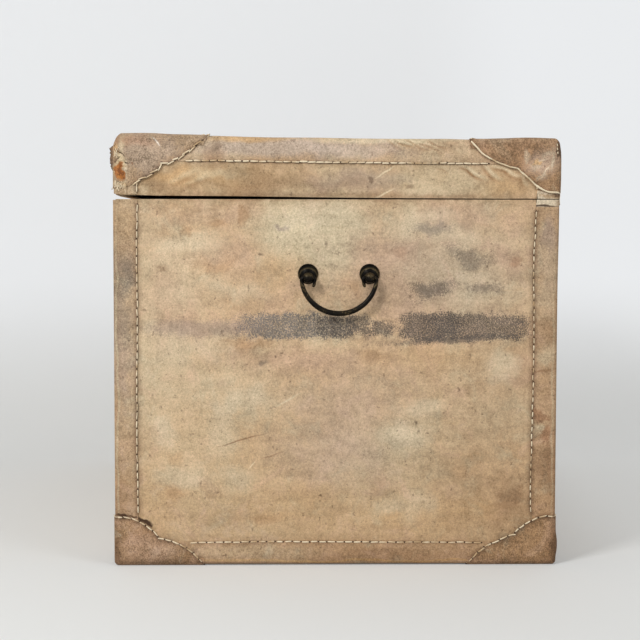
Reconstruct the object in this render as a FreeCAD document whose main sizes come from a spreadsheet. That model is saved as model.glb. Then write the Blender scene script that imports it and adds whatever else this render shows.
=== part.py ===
import FreeCAD, Part
import math
import os
import re
import Sketcher

# A blanket chest of finger-jointed boards, covered in stitched parchment, with a loose bail
# handle on each end. All lengths are in millimetres.
# The chest stands on z = 0 with its length along X. Its front faces -Y and its lid hinges at +Y.
# The hide lies on the boards in three layers: panels, then edge strips, then corner patches.

SIZES = {
    "case_length": (754.0, "boards, outside, end to end"),
    "case_depth": (494.0, "boards, outside, front to back"),
    "rim_height": (410.0, "floor to the covered rim of the chest"),
    "lid_height": (68.6, "covered rim of the lid to its top"),
    "lid_gap": (0.4, "air between the two rims of the closed chest"),
    "board": (14.0, "thickness of the four walls and of the lid's rails"),
    "base_board": (12.0, "thickness of the bottom board"),
    "lid_board": (12.0, "thickness of the lid's top board"),
    "chest_fingers": (9, "fingers and slots in a corner of the chest"),
    "lid_fingers": (3, "fingers and slots in a corner of the lid"),
    "chest_arris": (2.0, "rounding of the chest's wooden edges"),
    "lid_arris": (4.0, "rounding of the lid's wooden edges"),
    "hide": (1.0, "thickness of one layer of parchment"),
    "turn_in": (18.0, "hide pasted down inside the rims"),
    "turn_under": (32.0, "panels pasted under the base and over the lid"),
    "corner_strip": (26.0, "width of the upright strips on each face"),
    "base_strip": (25.0, "height of the strips along the base"),
    "base_strip_under": (20.0, "width of the same strips under the base"),
    "lid_strip": (29.0, "width of the strips round the lid's top"),
    "foot_patch_width": (102.0, "corner patch of the chest along the floor"),
    "foot_patch_height": (54.5, "corner patch of the chest up the corner"),
    "foot_cusp_along": (49.5, "place of its cusp along the floor"),
    "foot_cusp_up": (29.7, "place of its cusp above the floor"),
    "lid_patch_width": (102.0, "corner patch of the lid along the top"),
    "lid_patch_height": (61.0, "corner patch of the lid down the corner"),
    "lid_cusp_along": (50.0, "place of its cusp along the top"),
    "lid_cusp_down": (33.0, "place of its cusp below the top"),
    "flat_cusp": (40.0, "place of the cusp on the flat wing, both ways"),
    "lobe_corner": (47.0, "radius of the lobe next to the upright edge"),
    "lobe_edge": (65.0, "radius of the lobe next to the level edge"),
    "lobe_flat": (56.0, "radius of both lobes of the flat wing"),
    "hinge_band": (24.0, "height of the hinge strip on each side of the seam"),
    "hinge_tab": (8.0, "height of its tabs that wrap round the corners"),
    "handle_drop": (86.6, "covered rim of the chest down to the pivot of the bails"),
    "handle_shift": (3.0, "middle of the case to the middle of a handle, towards the back"),
    "post_spacing": (68.4, "between the two posts of a handle"),
    "post_drop": (4.0, "shank of a post above its pierced ball"),
    "standoff": (10.0, "hide to the pivot of the bail"),
    "ball_radius": (6.0, "pierced ball of a post"),
    "ball_face": (4.5, "middle of the ball to its flat sides"),
    "neck_radius": (2.8, "neck between the collar and the ball"),
    "neck_end_rise": (1.0, "end of the neck, in the ball, above the pivot"),
    "shank_radius": (2.5, "shank of a post"),
    "shank_play": (0.1, "round the shank in its holes"),
    "collar_radius": (4.2, "collar of a post on its plate"),
    "collar_depth": (1.2, "thickness of the collar"),
    "peen_radius": (4.4, "riveted end of the shank"),
    "peen_depth": (1.6, "thickness of the riveted end"),
    "peen_edge": (0.8, "thickness of the riveted end at its edge"),
    "peen_crown_radius": (2.2, "flat crown of the riveted end"),
    "rosette_radius": (11.3, "round plate under a post"),
    "rosette_rim": (1.7, "height of the plate's raised rim"),
    "rosette_rim_width": (1.9, "width of the raised rim"),
    "rosette_rim_slope": (0.6, "width of each slope of the raised rim"),
    "rosette_edge": (0.9, "thickness of the plate's edge and dish"),
    "boss_top_radius": (4.4, "raised middle of the plate, at its top"),
    "boss_foot_radius": (6.8, "raised middle of the plate, at its foot"),
    "boss_height": (2.4, "hide to the top of the raised middle"),
    "washer_radius": (8.0, "washer inside the chest"),
    "washer_thickness": (1.5, "thickness of the same washer"),
    "bail_radius": (42.0, "arc of the bail, to the middle of the rod"),
    "bail_rise": (2.4, "middle of the arc above the pivot"),
    "grip_radius": (2.7, "rod in the middle of the bail"),
    "rod_radius": (2.0, "rod at the pivots"),
    "ball_wall": (2.2, "depth of the neck into the ball"),
    "pivot_play": (0.08, "round the rod in the ball"),
    "shoulder_bend": (3.0, "bend from the arc into the ball"),
    "tail_bend": (2.4, "bend of the tail out of the ball"),
    "tail_run": (5.2, "middle of the ball to the start of the tail's bend"),
    "tail_length": (8.6, "straight part of the tail"),
    "tail_slant": (1.6, "tip of the tail nearer to the ball"),
    "tail_tip": (0.8, "radius of the tail's end"),
}

# Levels and lengths of the wood, in the words of the sheet.
BASE_LEVEL = "(3 * hide)"
RIM_LEVEL = "(rim_height - hide)"
LID_RIM = "(rim_height + lid_gap)"
LID_RIM_LEVEL = "(rim_height + lid_gap + hide)"
LID_TOP_LEVEL = "(rim_height + lid_gap + lid_height - 3 * hide)"
CHEST_WALL = "(rim_height - 4 * hide)"
LID_WALL = "(lid_height - 4 * hide)"
LID_RAIL = "(lid_height - 4 * hide - lid_board)"
STRIP_INSET = "(corner_strip - 2 * hide)"
HANDLE_LEVEL = "(rim_height - handle_drop)"

# The four sides of the case: name, turn about Z, length of the wall, case across the wall.
# A wall is made along its own X, which runs towards the back on the right side only.
SIDES = (
    ("front", 0, "case_length", "case_depth"),
    ("right", 90, "case_depth", "case_length"),
    ("back", 180, "case_length", "case_depth"),
    ("left", 270, "case_depth", "case_length"),
)
ENDS = {"right": "handle_shift", "left": "-handle_shift"}

# The four corners: name, turn about Z, and the signs of x and y.
CORNERS = (
    ("front_left", 0, -1, -1),
    ("front_right", 90, 1, -1),
    ("back_right", 180, 1, 1),
    ("back_left", 270, -1, 1),
)

# How near two coordinates are when they are the same.
FINE = 1e-6

WORD = re.compile(r"[a-z_]+")
doc = FreeCAD.newDocument("ParchmentChest")


def make_sheet():
    """Writes each size with its alias and its meaning into the sheet."""
    table = doc.addObject("Spreadsheet::Sheet", "Sizes")
    for row, (alias, (number, meaning)) in enumerate(SIZES.items(), start=1):
        table.set("A%d" % row, alias)
        table.set("B%d" % row, str(number))
        table.set("C%d" % row, meaning)
        table.setAlias("B%d" % row, alias)
    doc.recompute()
    return table


sheet = make_sheet()


def bound(words):
    """The expression in which each size is read from the sheet."""
    return WORD.sub(lambda found: "Sizes." + found.group() if found.group() in SIZES
                    else found.group(), str(words))


def value(words):
    """The length, in millimetres, of an expression in the words of the sheet."""
    return float(sheet.evalExpression(bound(words)))


def new_body(label):
    body = doc.addObject("PartDesign::Body", label)
    body.Label = label
    return body


def tilt(thing, axis, degrees):
    """Turns a piece about one of its own axes."""
    thing.Placement = FreeCAD.Placement(FreeCAD.Vector(), FreeCAD.Rotation(axis, degrees))


def place(thing, turns, x="0", y="0", z="0"):
    """Turns a piece about Z, after any tilt that it has, and ties its place to the sheet."""
    turn = FreeCAD.Rotation(FreeCAD.Vector(0, 0, 1), turns)
    thing.Placement = FreeCAD.Placement(FreeCAD.Vector(), turn * thing.Placement.Rotation)
    for axis, words in zip("xyz", (x, y, z)):
        thing.setExpression("Placement.Base." + axis, bound(words))


def side_place(thing, turns, distance, z):
    """Puts a piece that is made for the front against one of the four sides."""
    angle = math.radians(turns)
    x = "%d * %s" % (round(math.sin(angle)), distance)
    y = "%d * %s" % (-round(math.cos(angle)), distance)
    place(thing, turns, x, y, z)


def new_sketch(body, name, role, shift=("0", "0", "0")):
    """An empty sketch on one of the body's own planes, shifted along that plane's axes."""
    plane = [item for item in body.Origin.OriginFeatures if item.Role == role][0]
    sketch = body.newObject("Sketcher::SketchObject", name)
    sketch.AttachmentSupport = [(plane, "")]
    sketch.MapMode = "FlatFace"
    for axis, words in zip("xyz", shift):
        if words != "0":
            sketch.setExpression("AttachmentOffset.Base." + axis, bound(words))
    return sketch


def tie(sketch, kind, words, *ends):
    """Adds one constraint whose value comes from the sheet."""
    number = sketch.addConstraint(Sketcher.Constraint(kind, *ends, value(words)))
    sketch.setExpression("Constraints[%d]" % number, bound(words))


def arc_between(start, end, radius):
    """The arc of under a half turn that runs anticlockwise from start to end."""
    chord = end - start
    across = FreeCAD.Vector(-chord.y, chord.x, 0).normalize()
    depth = math.sqrt(radius ** 2 - (chord.Length / 2) ** 2)
    centre = start + chord / 2 + across * depth
    first = math.atan2(start.y - centre.y, start.x - centre.x)
    last = math.atan2(end.y - centre.y, end.x - centre.x)
    if last < first:
        last += 2 * math.pi
    circle = Part.Circle(centre, FreeCAD.Vector(0, 0, 1), radius)
    return Part.ArcOfCircle(circle, first, last)


def outline(body, name, role, points, arcs=None, shift=("0", "0", "0")):
    """A closed outline whose points are pairs of expressions, in anticlockwise order.

    arcs gives the radius of each side that is an arc, by the side's number. An arc bulges
    outwards, or inwards where its radius starts with a minus sign.
    """
    sketch = new_sketch(body, name, role, shift)
    arcs = arcs or {}
    places = [FreeCAD.Vector(value(u), value(v), 0) for u, v in points]
    heads = []
    for side, (start, end) in enumerate(zip(places, places[1:] + places[:1])):
        radius = arcs.get(side, "")
        hollow = radius.startswith("-")
        if hollow:
            shape = arc_between(end, start, value(radius[1:]))
        elif radius:
            shape = arc_between(start, end, value(radius))
        else:
            shape = Part.LineSegment(start, end)
        sketch.addGeometry(shape, False)
        heads.append(2 if hollow else 1)
    for side, head in enumerate(heads):
        following = (side + 1) % len(heads)
        sketch.addConstraint(Sketcher.Constraint("Coincident", side, 3 - head, following,
                                                 heads[following]))
    for side, (u, v) in enumerate(points):
        tie(sketch, "DistanceX", u, -1, 1, side, heads[side])
        tie(sketch, "DistanceY", v, -1, 1, side, heads[side])
    for side, radius in arcs.items():
        tie(sketch, "Radius", radius.lstrip("-"), side)
    doc.recompute()
    return sketch


def box_points(left, low, right, high):
    return ((left, low), (right, low), (right, high), (left, high))


def pad(body, sketch, length, both=False, backwards=False):
    feature = body.newObject("PartDesign::Pad", sketch.Name + "Pad")
    feature.Profile = sketch
    feature.Midplane = both
    feature.Reversed = backwards
    feature.setExpression("Length", bound(length))
    doc.recompute()
    return feature


def pocket(body, sketch, length, both=False):
    """Cuts a pocket and checks that it took something away."""
    before = body.Shape.Volume
    feature = body.newObject("PartDesign::Pocket", sketch.Name + "Pocket")
    feature.Profile = sketch
    feature.Midplane = both
    feature.setExpression("Length", bound(length))
    doc.recompute()
    if body.Shape.Volume >= before:
        raise ValueError("the pocket %s cuts nothing" % sketch.Name)
    return feature


def revolve(body, sketch, axis):
    feature = body.newObject("PartDesign::Revolution", sketch.Name + "Turned")
    feature.Profile = sketch
    feature.ReferenceAxis = (sketch, [axis])
    doc.recompute()
    return feature


def fillet(body, base, places, radius):
    """Rounds the straight edges that lie on lines, each given as the coordinates it keeps."""
    names = []
    for number, edge in enumerate(base.Shape.Edges, start=1):
        if any(lies_on(edge, line) for line in places):
            names.append("Edge%d" % number)
    feature = body.newObject("PartDesign::Fillet", body.Name + "Fillet")
    feature.Base = (base, names)
    feature.setExpression("Radius", bound(radius))
    doc.recompute()
    return feature


def lies_on(edge, line):
    """True for an edge whose two ends have the coordinates that the line keeps."""
    ends = [vertex.Point for vertex in edge.Vertexes]
    return len(ends) == 2 and all(
        math.isclose(getattr(end, axis), value(words), abs_tol=FINE)
        for end in ends for axis, words in line.items())


# Wood

def wall(label, length, height, fingers, arris, first_slot, round_base, handle_at=None):
    """A wall board with finger joints: outer face on y = 0, thickness towards +Y, foot on z = 0.

    first_slot is 1 on a board that has the lowest finger and 0 on one that has its slot.
    handle_at is the middle of the handle along the board, if it has one.
    """
    body = new_body(label)
    half = "(%s / 2)" % length
    face = outline(body, label + "_face", "XZ_Plane",
                   box_points("-" + half, "0", half, height))
    feature = pad(body, face, "board", backwards=True)
    lines = [{"x": "-" + half, "y": "0"}, {"x": half, "y": "0"}]
    if round_base:
        lines += [{"y": "0", "z": "0"}, {"x": "-" + half, "z": "0"}, {"x": half, "z": "0"}]
    fillet(body, feature, lines, arris)
    step = "(%s / %s)" % (height, fingers)
    for name, low, high in (("slot_a", "-" + half, "(board - %s)" % half),
                            ("slot_b", "(%s - board)" % half, half)):
        cut_slots(body, label + "_" + name, low, high, step, fingers, first_slot)
    if handle_at:
        height = "%s + post_drop - %s" % (HANDLE_LEVEL, BASE_LEVEL)
        shank_holes(body, label, handle_at, height, "board")
    return body


def cut_slots(body, name, low, high, step, fingers, first_slot):
    """The slots in one end of a board: the first one, then its copies up the board."""
    bottom = "(%d * %s)" % (first_slot, step)
    slot = outline(body, name, "XZ_Plane", box_points(low, bottom, high, bottom + " + " + step))
    cut = pocket(body, slot, "board")
    copies = (int(value(fingers)) - first_slot + 1) // 2
    if copies < 2:
        return
    row = body.newObject("PartDesign::LinearPattern", name + "_row")
    row.Originals = [cut]
    upright = [item for item in body.Origin.OriginFeatures if item.Role == "Z_Axis"][0]
    row.Direction = (upright, [""])
    row.setExpression("Length", bound("%d * %s" % (2 * (copies - 1), step)))
    row.Occurrences = copies
    body.Tip = row
    doc.recompute()


def shank_holes(body, label, middle, height, depth):
    """The two holes for the posts of a handle, cut through the wood or hide at y = 0."""
    sketch = new_sketch(body, label + "_holes", "XZ_Plane")
    for number, side in enumerate(("-", "+")):
        along = "%s %s post_spacing / 2" % (middle, side)
        centre = FreeCAD.Vector(value(along), value(height), 0)
        radius = value("shank_radius + shank_play")
        sketch.addGeometry(Part.Circle(centre, FreeCAD.Vector(0, 0, 1), radius), False)
        tie(sketch, "DistanceX", along, -1, 1, number, 3)
        tie(sketch, "DistanceY", height, -1, 1, number, 3)
        tie(sketch, "Radius", "shank_radius + shank_play", number)
    doc.recompute()
    pocket(body, sketch, "2 * (%s)" % depth, both=True)


def board(label, length, width, thickness, z):
    """A flat board on z = 0 of its own frame."""
    body = new_body(label)
    half, across = "(%s) / 2" % length, "(%s) / 2" % width
    face = outline(body, label + "_face", "XY_Plane",
                   box_points("-" + half, "-" + across, half, across))
    feature = pad(body, face, thickness)
    place(body, 0, z=z)
    return body, feature


def make_case():
    """The four walls and the bottom board."""
    for side, turns, length, across in SIDES:
        label = "chest_%s_board" % side
        piece = wall(label, length, CHEST_WALL, "chest_fingers", "chest_arris",
                     int(side in ENDS), True, handle_at=ENDS.get(side))
        side_place(piece, turns, "%s / 2" % across, BASE_LEVEL)
    board("chest_bottom_board", "case_length - 2 * board", "case_depth - 2 * board",
          "base_board", BASE_LEVEL)


def make_lid_frame():
    """The lid's four rails under its rounded top board."""
    for side, turns, length, across in SIDES:
        piece = wall("lid_%s_rail" % side, length, LID_RAIL, "lid_fingers", "lid_arris",
                     int(side in ENDS), False)
        side_place(piece, turns, "%s / 2" % across, LID_RIM_LEVEL)
    body, feature = board("lid_top_board", "case_length", "case_depth", "lid_board",
                          LID_TOP_LEVEL + " - lid_board")
    lines = []
    for sign in ("-", "+"):
        lines += [{"x": sign + "case_length / 2", "z": "lid_board"},
                  {"y": sign + "case_depth / 2", "z": "lid_board"}]
        lines += [{"x": sign + "case_length / 2", "y": other + "case_depth / 2"}
                  for other in ("-", "+")]
    fillet(body, feature, lines, "lid_arris")


# Parchment panels

def panel(label, length, height, arris, end, thick, handle_at=None):
    """A panel pasted on a wall, turned in over the rim and turned over at the far edge.

    Its frame has the wood's face on y = 0 with the hide towards +Y, and the wood's rim on z = 0
    with the wall towards +Z. thick is the wood that the far edge turns over.
    """
    body = new_body(label)
    flat = "(%s - 2 * %s)" % (length, arris)
    inner = "(%s - 2 * board%s)" % (length, "" if end else " - 2 * hide")
    over = flat if end else inner
    far = flat if end else "(%s - 2 * turn_under)" % length
    behind = "-(board + hide)"
    pieces = (
        ("face", flat, box_points("0", "0", "hide", "%s - %s" % (height, arris)), None),
        ("rim", over, box_points(behind, "-hide", "hide", "0"), None),
        ("turned_in", inner, box_points(behind, "-hide", "-board", "turn_in"), None),
        ("far_edge", far, far_edge_points(height, arris, thick), far_edge_arcs(arris)),
    )
    for name, width, points, arcs in pieces:
        section = outline(body, label + "_" + name, "YZ_Plane", points, arcs)
        pad(body, section, width, both=True)
    if handle_at:
        shank_holes(body, label, handle_at, "handle_drop - hide - post_drop", "2 * hide")
    return body


def far_edge_points(height, arris, thick):
    """Section of the fold: off the face, round the wood's edge and back along its far side."""
    start = "%s - %s" % (height, arris)
    outside = "%s + hide" % height
    return (
        ("0", start), ("hide", start), ("-" + arris, outside), ("-" + thick, outside),
        ("-" + thick, height), ("-" + arris, height),
    )


def far_edge_arcs(arris):
    return {1: "(%s + hide)" % arris, 5: "-" + arris}


def make_panels():
    """The panels of the chest and of the lid, and the flat panel on the lid's top."""
    for side, turns, length, across in SIDES:
        end = side in ENDS
        piece = panel("chest_%s_panel" % side, length, CHEST_WALL, "chest_arris", end,
                      "turn_under", handle_at=ENDS.get(side))
        tilt(piece, FreeCAD.Vector(1, 0, 0), 180)
        side_place(piece, turns, "%s / 2" % across, RIM_LEVEL)
        piece = panel("lid_%s_panel" % side, length, LID_WALL, "lid_arris", end, "turn_under")
        tilt(piece, FreeCAD.Vector(0, 0, 1), 180)
        side_place(piece, turns, "%s / 2" % across, LID_RIM_LEVEL)
    board("lid_top_panel", "case_length - 2 * turn_under", "case_depth - 2 * turn_under",
          "hide", LID_TOP_LEVEL)


# Edge strips

def strip_points(first, second, arris):
    """Section of a strip bent over an edge, with the wood's edge lines crossing at 0, 0.

    first is its width along X and second along Y, both from its outer corner.
    """
    outside, inside = "2 * hide", "hide"
    bend = "-" + arris
    end_x = "%s - %s" % (outside, first)
    end_y = "%s - %s" % (outside, second)
    return (
        (inside, end_y), (outside, end_y), (outside, bend), (bend, outside),
        (end_x, outside), (end_x, inside), (bend, inside), (inside, bend),
    )


def strip(label, first, second, arris, length):
    """A strip bent over an edge that runs along Z, on both sides of z = 0."""
    body = new_body(label)
    arcs = {2: "(%s + 2 * hide)" % arris, 6: "-(%s + hide)" % arris}
    section = outline(body, label + "_section", "XY_Plane",
                      strip_points(first, second, arris), arcs)
    pad(body, section, length, both=True)
    return body


def upright_strip(label, corner, low, high, arris):
    """A strip on one upright corner edge, from one level to another."""
    turns, x_sign, y_sign = corner
    body = strip(label, "corner_strip", "corner_strip", arris, "%s - %s" % (high, low))
    place(body, turns + 180, "%d * case_length / 2" % x_sign, "%d * case_depth / 2" % y_sign,
          "(%s + %s) / 2" % (high, low))


def make_strips():
    """The strips on the upright corners, along the base and round the lid's top."""
    for name, *corner in CORNERS:
        tab = "(hinge_tab - hide)" if name.startswith("back") else "0"
        upright_strip("chest_%s_strip" % name, corner, "(%s + chest_arris)" % BASE_LEVEL,
                      "(%s - %s)" % (RIM_LEVEL, tab), "chest_arris")
        upright_strip("lid_%s_strip" % name, corner, "(%s + %s)" % (LID_RIM_LEVEL, tab),
                      "(%s + 2 * hide - lid_strip)" % LID_TOP_LEVEL, "lid_arris")
    for side, turns, length, across in SIDES:
        piece = strip("base_%s_strip" % side, "base_strip_under", "base_strip", "chest_arris",
                      "%s - 2 * %s" % (length, STRIP_INSET))
        level_strip(piece, turns, across, BASE_LEVEL, -1)
        piece = strip("lid_%s_edge_strip" % side, "lid_strip", "lid_strip", "lid_arris",
                      "%s - 2 * lid_strip + 4 * hide" % length)
        level_strip(piece, turns, across, LID_TOP_LEVEL, 1)


def level_strip(piece, turns, across, level, up):
    """Lays a strip along one side, over the edge that looks down or up."""
    lie = FreeCAD.Rotation(FreeCAD.Vector(1, 0, 0), 90 * up)
    piece.Placement = FreeCAD.Placement(FreeCAD.Vector(), lie)
    angle = math.radians(turns)
    x = "%d * %s / 2" % (round(math.sin(angle)), across)
    y = "%d * %s / 2" % (-round(math.cos(angle)), across)
    place(piece, turns - 90, x, y, level)


# Corner patches

def patch(label, sizes, arris):
    """A patch of three wings over one corner: a shell of the corner, cut to three outlines.

    Its frame has the wood's corner at the origin and the wood at positive x, y and z.
    """
    width, height, along, up = sizes
    shell = corner_shell(label, width, height, arris)
    region = patch_region(label, width, height, along, up, arris)
    common = doc.addObject("Part::Common", label)
    common.Label = label
    common.Base, common.Tool = shell, region
    common.Refine = True
    doc.recompute()
    return common


def corner_shell(label, width, height, arris):
    """A rounded corner of a box, hollowed to one layer of hide."""
    body = new_body(label + "_shell")
    out = "-3 * hide"
    face = outline(body, label + "_plan", "XY_Plane", box_points(out, out, width, width),
                   shift=("0", "0", out))
    block = pad(body, face, height + " + 3 * hide")
    lines = [{"x": out, "y": out}, {"x": out, "z": out}, {"y": out, "z": out}]
    rounded = fillet(body, block, lines, "%s + 3 * hide" % arris)
    bounds = rounded.Shape.BoundBox
    far = ["Face%d" % number for number, face in enumerate(rounded.Shape.Faces, start=1)
           if math.isclose(face.BoundBox.XMin, bounds.XMax, abs_tol=FINE)
           or math.isclose(face.BoundBox.YMin, bounds.YMax, abs_tol=FINE)
           or math.isclose(face.BoundBox.ZMin, bounds.ZMax, abs_tol=FINE)]
    hollow = body.newObject("PartDesign::Thickness", label + "_hollow")
    hollow.Base = (rounded, far)
    hollow.setExpression("Value", bound("hide"))
    hollow.Reversed = True
    doc.recompute()
    return body


def patch_region(label, width, height, along, up, arris):
    """Three slabs, one behind each wing, whose outlines are two lobes that meet at a cusp."""
    body = new_body(label + "_region")
    depth = "(%s + 4 * hide)" % arris
    past = "-4 * hide"
    upright = ("lobe_edge", "lobe_corner")
    wings = (
        ("front", "XZ_Plane", "-(%s)" % depth, wing_points(width, height, along, up), upright),
        ("end", "YZ_Plane", past, wing_points(width, height, along, up), upright),
        ("flat", "XY_Plane", past, wing_points(width, width, "flat_cusp", "flat_cusp"),
         ("lobe_flat", "lobe_flat")),
    )
    for name, plane, start, points, lobes in wings:
        arcs = {1: lobes[0], 2: lobes[1]}
        wing = outline(body, label + "_" + name, plane, points, arcs, ("0", "0", start))
        pad(body, wing, depth + " + 4 * hide")
    return body


def wing_points(width, height, along, up):
    """The corner, the end on the level edge, the cusp and the end on the upright edge."""
    out = "-3 * hide"
    return (
        (out, out), ("%s - 3 * hide" % width, out),
        ("%s - 3 * hide" % along, "%s - 3 * hide" % up), (out, "%s - 3 * hide" % height),
    )


def make_patches():
    """Four patches under the chest's corners and four over the lid's."""
    foot = ("foot_patch_width", "foot_patch_height", "foot_cusp_along", "foot_cusp_up")
    cap = ("lid_patch_width", "lid_patch_height", "lid_cusp_along", "lid_cusp_down")
    for name, turns, x_sign, y_sign in CORNERS:
        x = "%d * case_length / 2" % x_sign
        y = "%d * case_depth / 2" % y_sign
        piece = patch("chest_%s_patch" % name, foot, "chest_arris")
        place(piece, turns, x, y, BASE_LEVEL)
        piece = patch("lid_%s_patch" % name, cap, "lid_arris")
        tilt(piece, FreeCAD.Vector(1, 0, 0), 180)
        place(piece, turns + 90, x, y, LID_TOP_LEVEL)


# Hinge strip

def hinge_half(label, arris, upwards):
    """Half of the parchment strip that hinges the lid: a band on the back, tabs on the ends."""
    body = new_body(label)
    side, back = "(case_length / 2)", "(case_depth / 2)"
    tab_end = "(%s - %s)" % (back, STRIP_INSET)
    points, arcs = staple(side, back, tab_end, arris)
    tabs = outline(body, label + "_tabs", "XY_Plane", points, arcs)
    pad(body, tabs, "hinge_tab", backwards=not upwards)
    reach = "(%s - %s)" % (side, STRIP_INSET)
    band = outline(body, label + "_band", "XY_Plane",
                   box_points("-" + reach, back + " + hide", reach, back + " + 2 * hide"))
    pad(body, band, "hinge_band", backwards=not upwards)
    place(body, 0, z=LID_RIM if upwards else "rim_height")


def staple(side, back, tab_end, arris):
    """Plan of the strip: down one end, along the back and down the other end."""
    outer, inner = "(%s + 2 * hide)" % side, "(%s + hide)" % side
    bend_x, bend_y = "(%s - %s)" % (side, arris), "(%s - %s)" % (back, arris)
    outside, inside = back + " + 2 * hide", back + " + hide"
    points = (
        (inner, tab_end), (outer, tab_end), (outer, bend_y), (bend_x, outside),
        ("-" + bend_x, outside), ("-" + outer, bend_y), ("-" + outer, tab_end),
        ("-" + inner, tab_end), ("-" + inner, bend_y), ("-" + bend_x, inside),
        (bend_x, inside), (inner, bend_y),
    )
    turn, fold = "(%s + 2 * hide)" % arris, "-(%s + hide)" % arris
    return points, {2: turn, 4: turn, 8: fold, 10: fold}


def make_hinge():
    hinge_half("hinge_strip_chest", "chest_arris", False)
    hinge_half("hinge_strip_lid", "lid_arris", True)


# Handles, in a frame with the wall's hide on x = 0, the posts along Y and the pivot on z = 0

def mirror(body, features):
    """Copies what was made for the post at +Y to the other post."""
    plane = [item for item in body.Origin.OriginFeatures if item.Role == "XZ_Plane"][0]
    twin = body.newObject("PartDesign::Mirrored", body.Name + "_twin")
    twin.Originals = features
    twin.MirrorPlane = (plane, [""])
    body.Tip = twin
    doc.recompute()


def shank_profile(body, name, points):
    """A section beside the shank's axis, turned about it. Points are (along, radius)."""
    sketch = outline(body, name, "XY_Plane", points,
                     shift=("0", "post_spacing / 2", "post_drop"))
    return revolve(body, sketch, "H_Axis")


def posts(label):
    """Two forged posts: riveted end, shank, collar, neck and pierced ball."""
    body = new_body(label)
    inside = "(hide + board + washer_thickness)"
    top = "(boss_height + collar_depth)"
    shank = shank_profile(body, label + "_shank", (
        ("-(%s + peen_depth)" % inside, "0"), (top, "0"), (top, "neck_radius"),
        ("boss_height", "collar_radius"), ("boss_height", "shank_radius"),
        ("-" + inside, "shank_radius"), ("-" + inside, "peen_radius"),
        ("-(%s + peen_edge)" % inside, "peen_radius"),
        ("-(%s + peen_depth)" % inside, "peen_crown_radius"),
    ))
    cap = "(sqrt(ball_radius ^ 2 - ball_face ^ 2))"
    bore = "(rod_radius + pivot_play)"
    ball = outline(body, label + "_ball", "XY_Plane",
                   ((bore, "-ball_face"), (cap, "-ball_face"), (cap, "ball_face"),
                    (bore, "ball_face")), {1: "ball_radius"},
                   shift=("standoff", "post_spacing / 2", "0"))
    bead = revolve(body, ball, "V_Axis")
    neck = make_neck(body, label)
    mirror(body, [shank, bead, neck])
    return body


def make_neck(body, label):
    """The neck slants from the collar down into the back of the ball."""
    root = neck_ring(body, label + "_neck_root", "(boss_height + collar_depth / 2)", "post_drop")
    tip = neck_ring(body, label + "_neck_tip", "(standoff - ball_radius + ball_wall)",
                    "neck_end_rise")
    loft = body.newObject("PartDesign::AdditiveLoft", label + "_neck_loft")
    loft.Profile = root
    loft.Sections = [tip]
    loft.Ruled = True
    doc.recompute()
    return loft


def neck_ring(body, name, along, rise):
    """A circle of the neck, at its distance from the wall and its rise above the pivot."""
    ring = new_sketch(body, name, "YZ_Plane", ("post_spacing / 2", "0", along))
    centre = FreeCAD.Vector(0, value(rise), 0)
    ring.addGeometry(Part.Circle(centre, FreeCAD.Vector(0, 0, 1), value("neck_radius")), False)
    tie(ring, "DistanceY", rise, -1, 1, 0, 3)
    ring.addConstraint(Sketcher.Constraint("PointOnObject", 0, 3, -2))
    tie(ring, "Radius", "neck_radius", 0)
    doc.recompute()
    return ring


def rosettes(label):
    """Two dished round plates with a raised rim and a raised middle."""
    body = new_body(label)
    hole = "(shank_radius + shank_play)"
    inner_rim = "(rosette_radius - rosette_rim_width)"
    plate = shank_profile(body, label + "_plate", (
        ("0", "rosette_radius"), ("0", hole), ("boss_height", hole),
        ("boss_height", "boss_top_radius"), ("rosette_edge", "boss_foot_radius"),
        ("rosette_edge", inner_rim), ("rosette_rim", inner_rim + " + rosette_rim_slope"),
        ("rosette_rim", "rosette_radius - rosette_rim_slope"),
        ("rosette_edge", "rosette_radius"),
    ))
    mirror(body, [plate])
    return body


def washers(label):
    """Two flat rings under the riveted ends, inside the chest."""
    body = new_body(label)
    hole = "(shank_radius + shank_play)"
    inside = "(hide + board)"
    ring = shank_profile(body, label + "_ring", (
        ("-(%s + washer_thickness)" % inside, hole), ("-" + inside, hole),
        ("-" + inside, "washer_radius"), ("-(%s + washer_thickness)" % inside, "washer_radius"),
    ))
    mirror(body, [ring])
    return body


def bail(label):
    """A tapered rod: tails, rods through the balls, shoulders and one long arc."""
    thing = doc.addObject("Part::Feature", label)
    thing.Label = label
    thing.Shape = bail_shape()
    return thing


def bail_shape():
    """Half of the bail lies at +Y: its tail, its pivot rod and its shoulder. The rest mirrors."""
    rod = value("rod_radius")
    bend, shoulder = value("tail_bend"), value("shoulder_bend")
    radius, rise = value("bail_radius"), value("bail_rise")
    start = value("post_spacing / 2 - tail_run")
    reach = math.sqrt((radius - shoulder) ** 2 - (rise + shoulder) ** 2)
    swing = math.atan2(rise + shoulder, reach)
    x = value("standoff")
    side = bend_solid(x, start, -bend, bend, rod, math.pi / 2, math.pi)
    side = side.fuse(Part.makeCylinder(rod, reach - start, FreeCAD.Vector(x, start, 0),
                                       FreeCAD.Vector(0, 1, 0)))
    side = side.fuse(bend_solid(x, reach, -shoulder, shoulder, rod, -swing, math.pi / 2))
    side = side.fuse(tail_solid(x, start - bend, -bend))
    grip = grip_solid(x, radius, rise, swing)
    twin = side.mirror(FreeCAD.Vector(), FreeCAD.Vector(0, 1, 0))
    return grip.fuse([side, twin]).removeSplitter()


def bend_solid(x, y, z, bend, rod, first, last):
    """A bent rod whose middle line runs from one angle to another about (y, z)."""
    begin = FreeCAD.Vector(x, y + bend * math.cos(first), z + bend * math.sin(first))
    along = FreeCAD.Vector(0, -math.sin(first), math.cos(first))
    ring = Part.Face(Part.Wire(Part.makeCircle(rod, begin, along)))
    return ring.revolve(FreeCAD.Vector(x, y, z), FreeCAD.Vector(1, 0, 0),
                        math.degrees(last - first))


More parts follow.
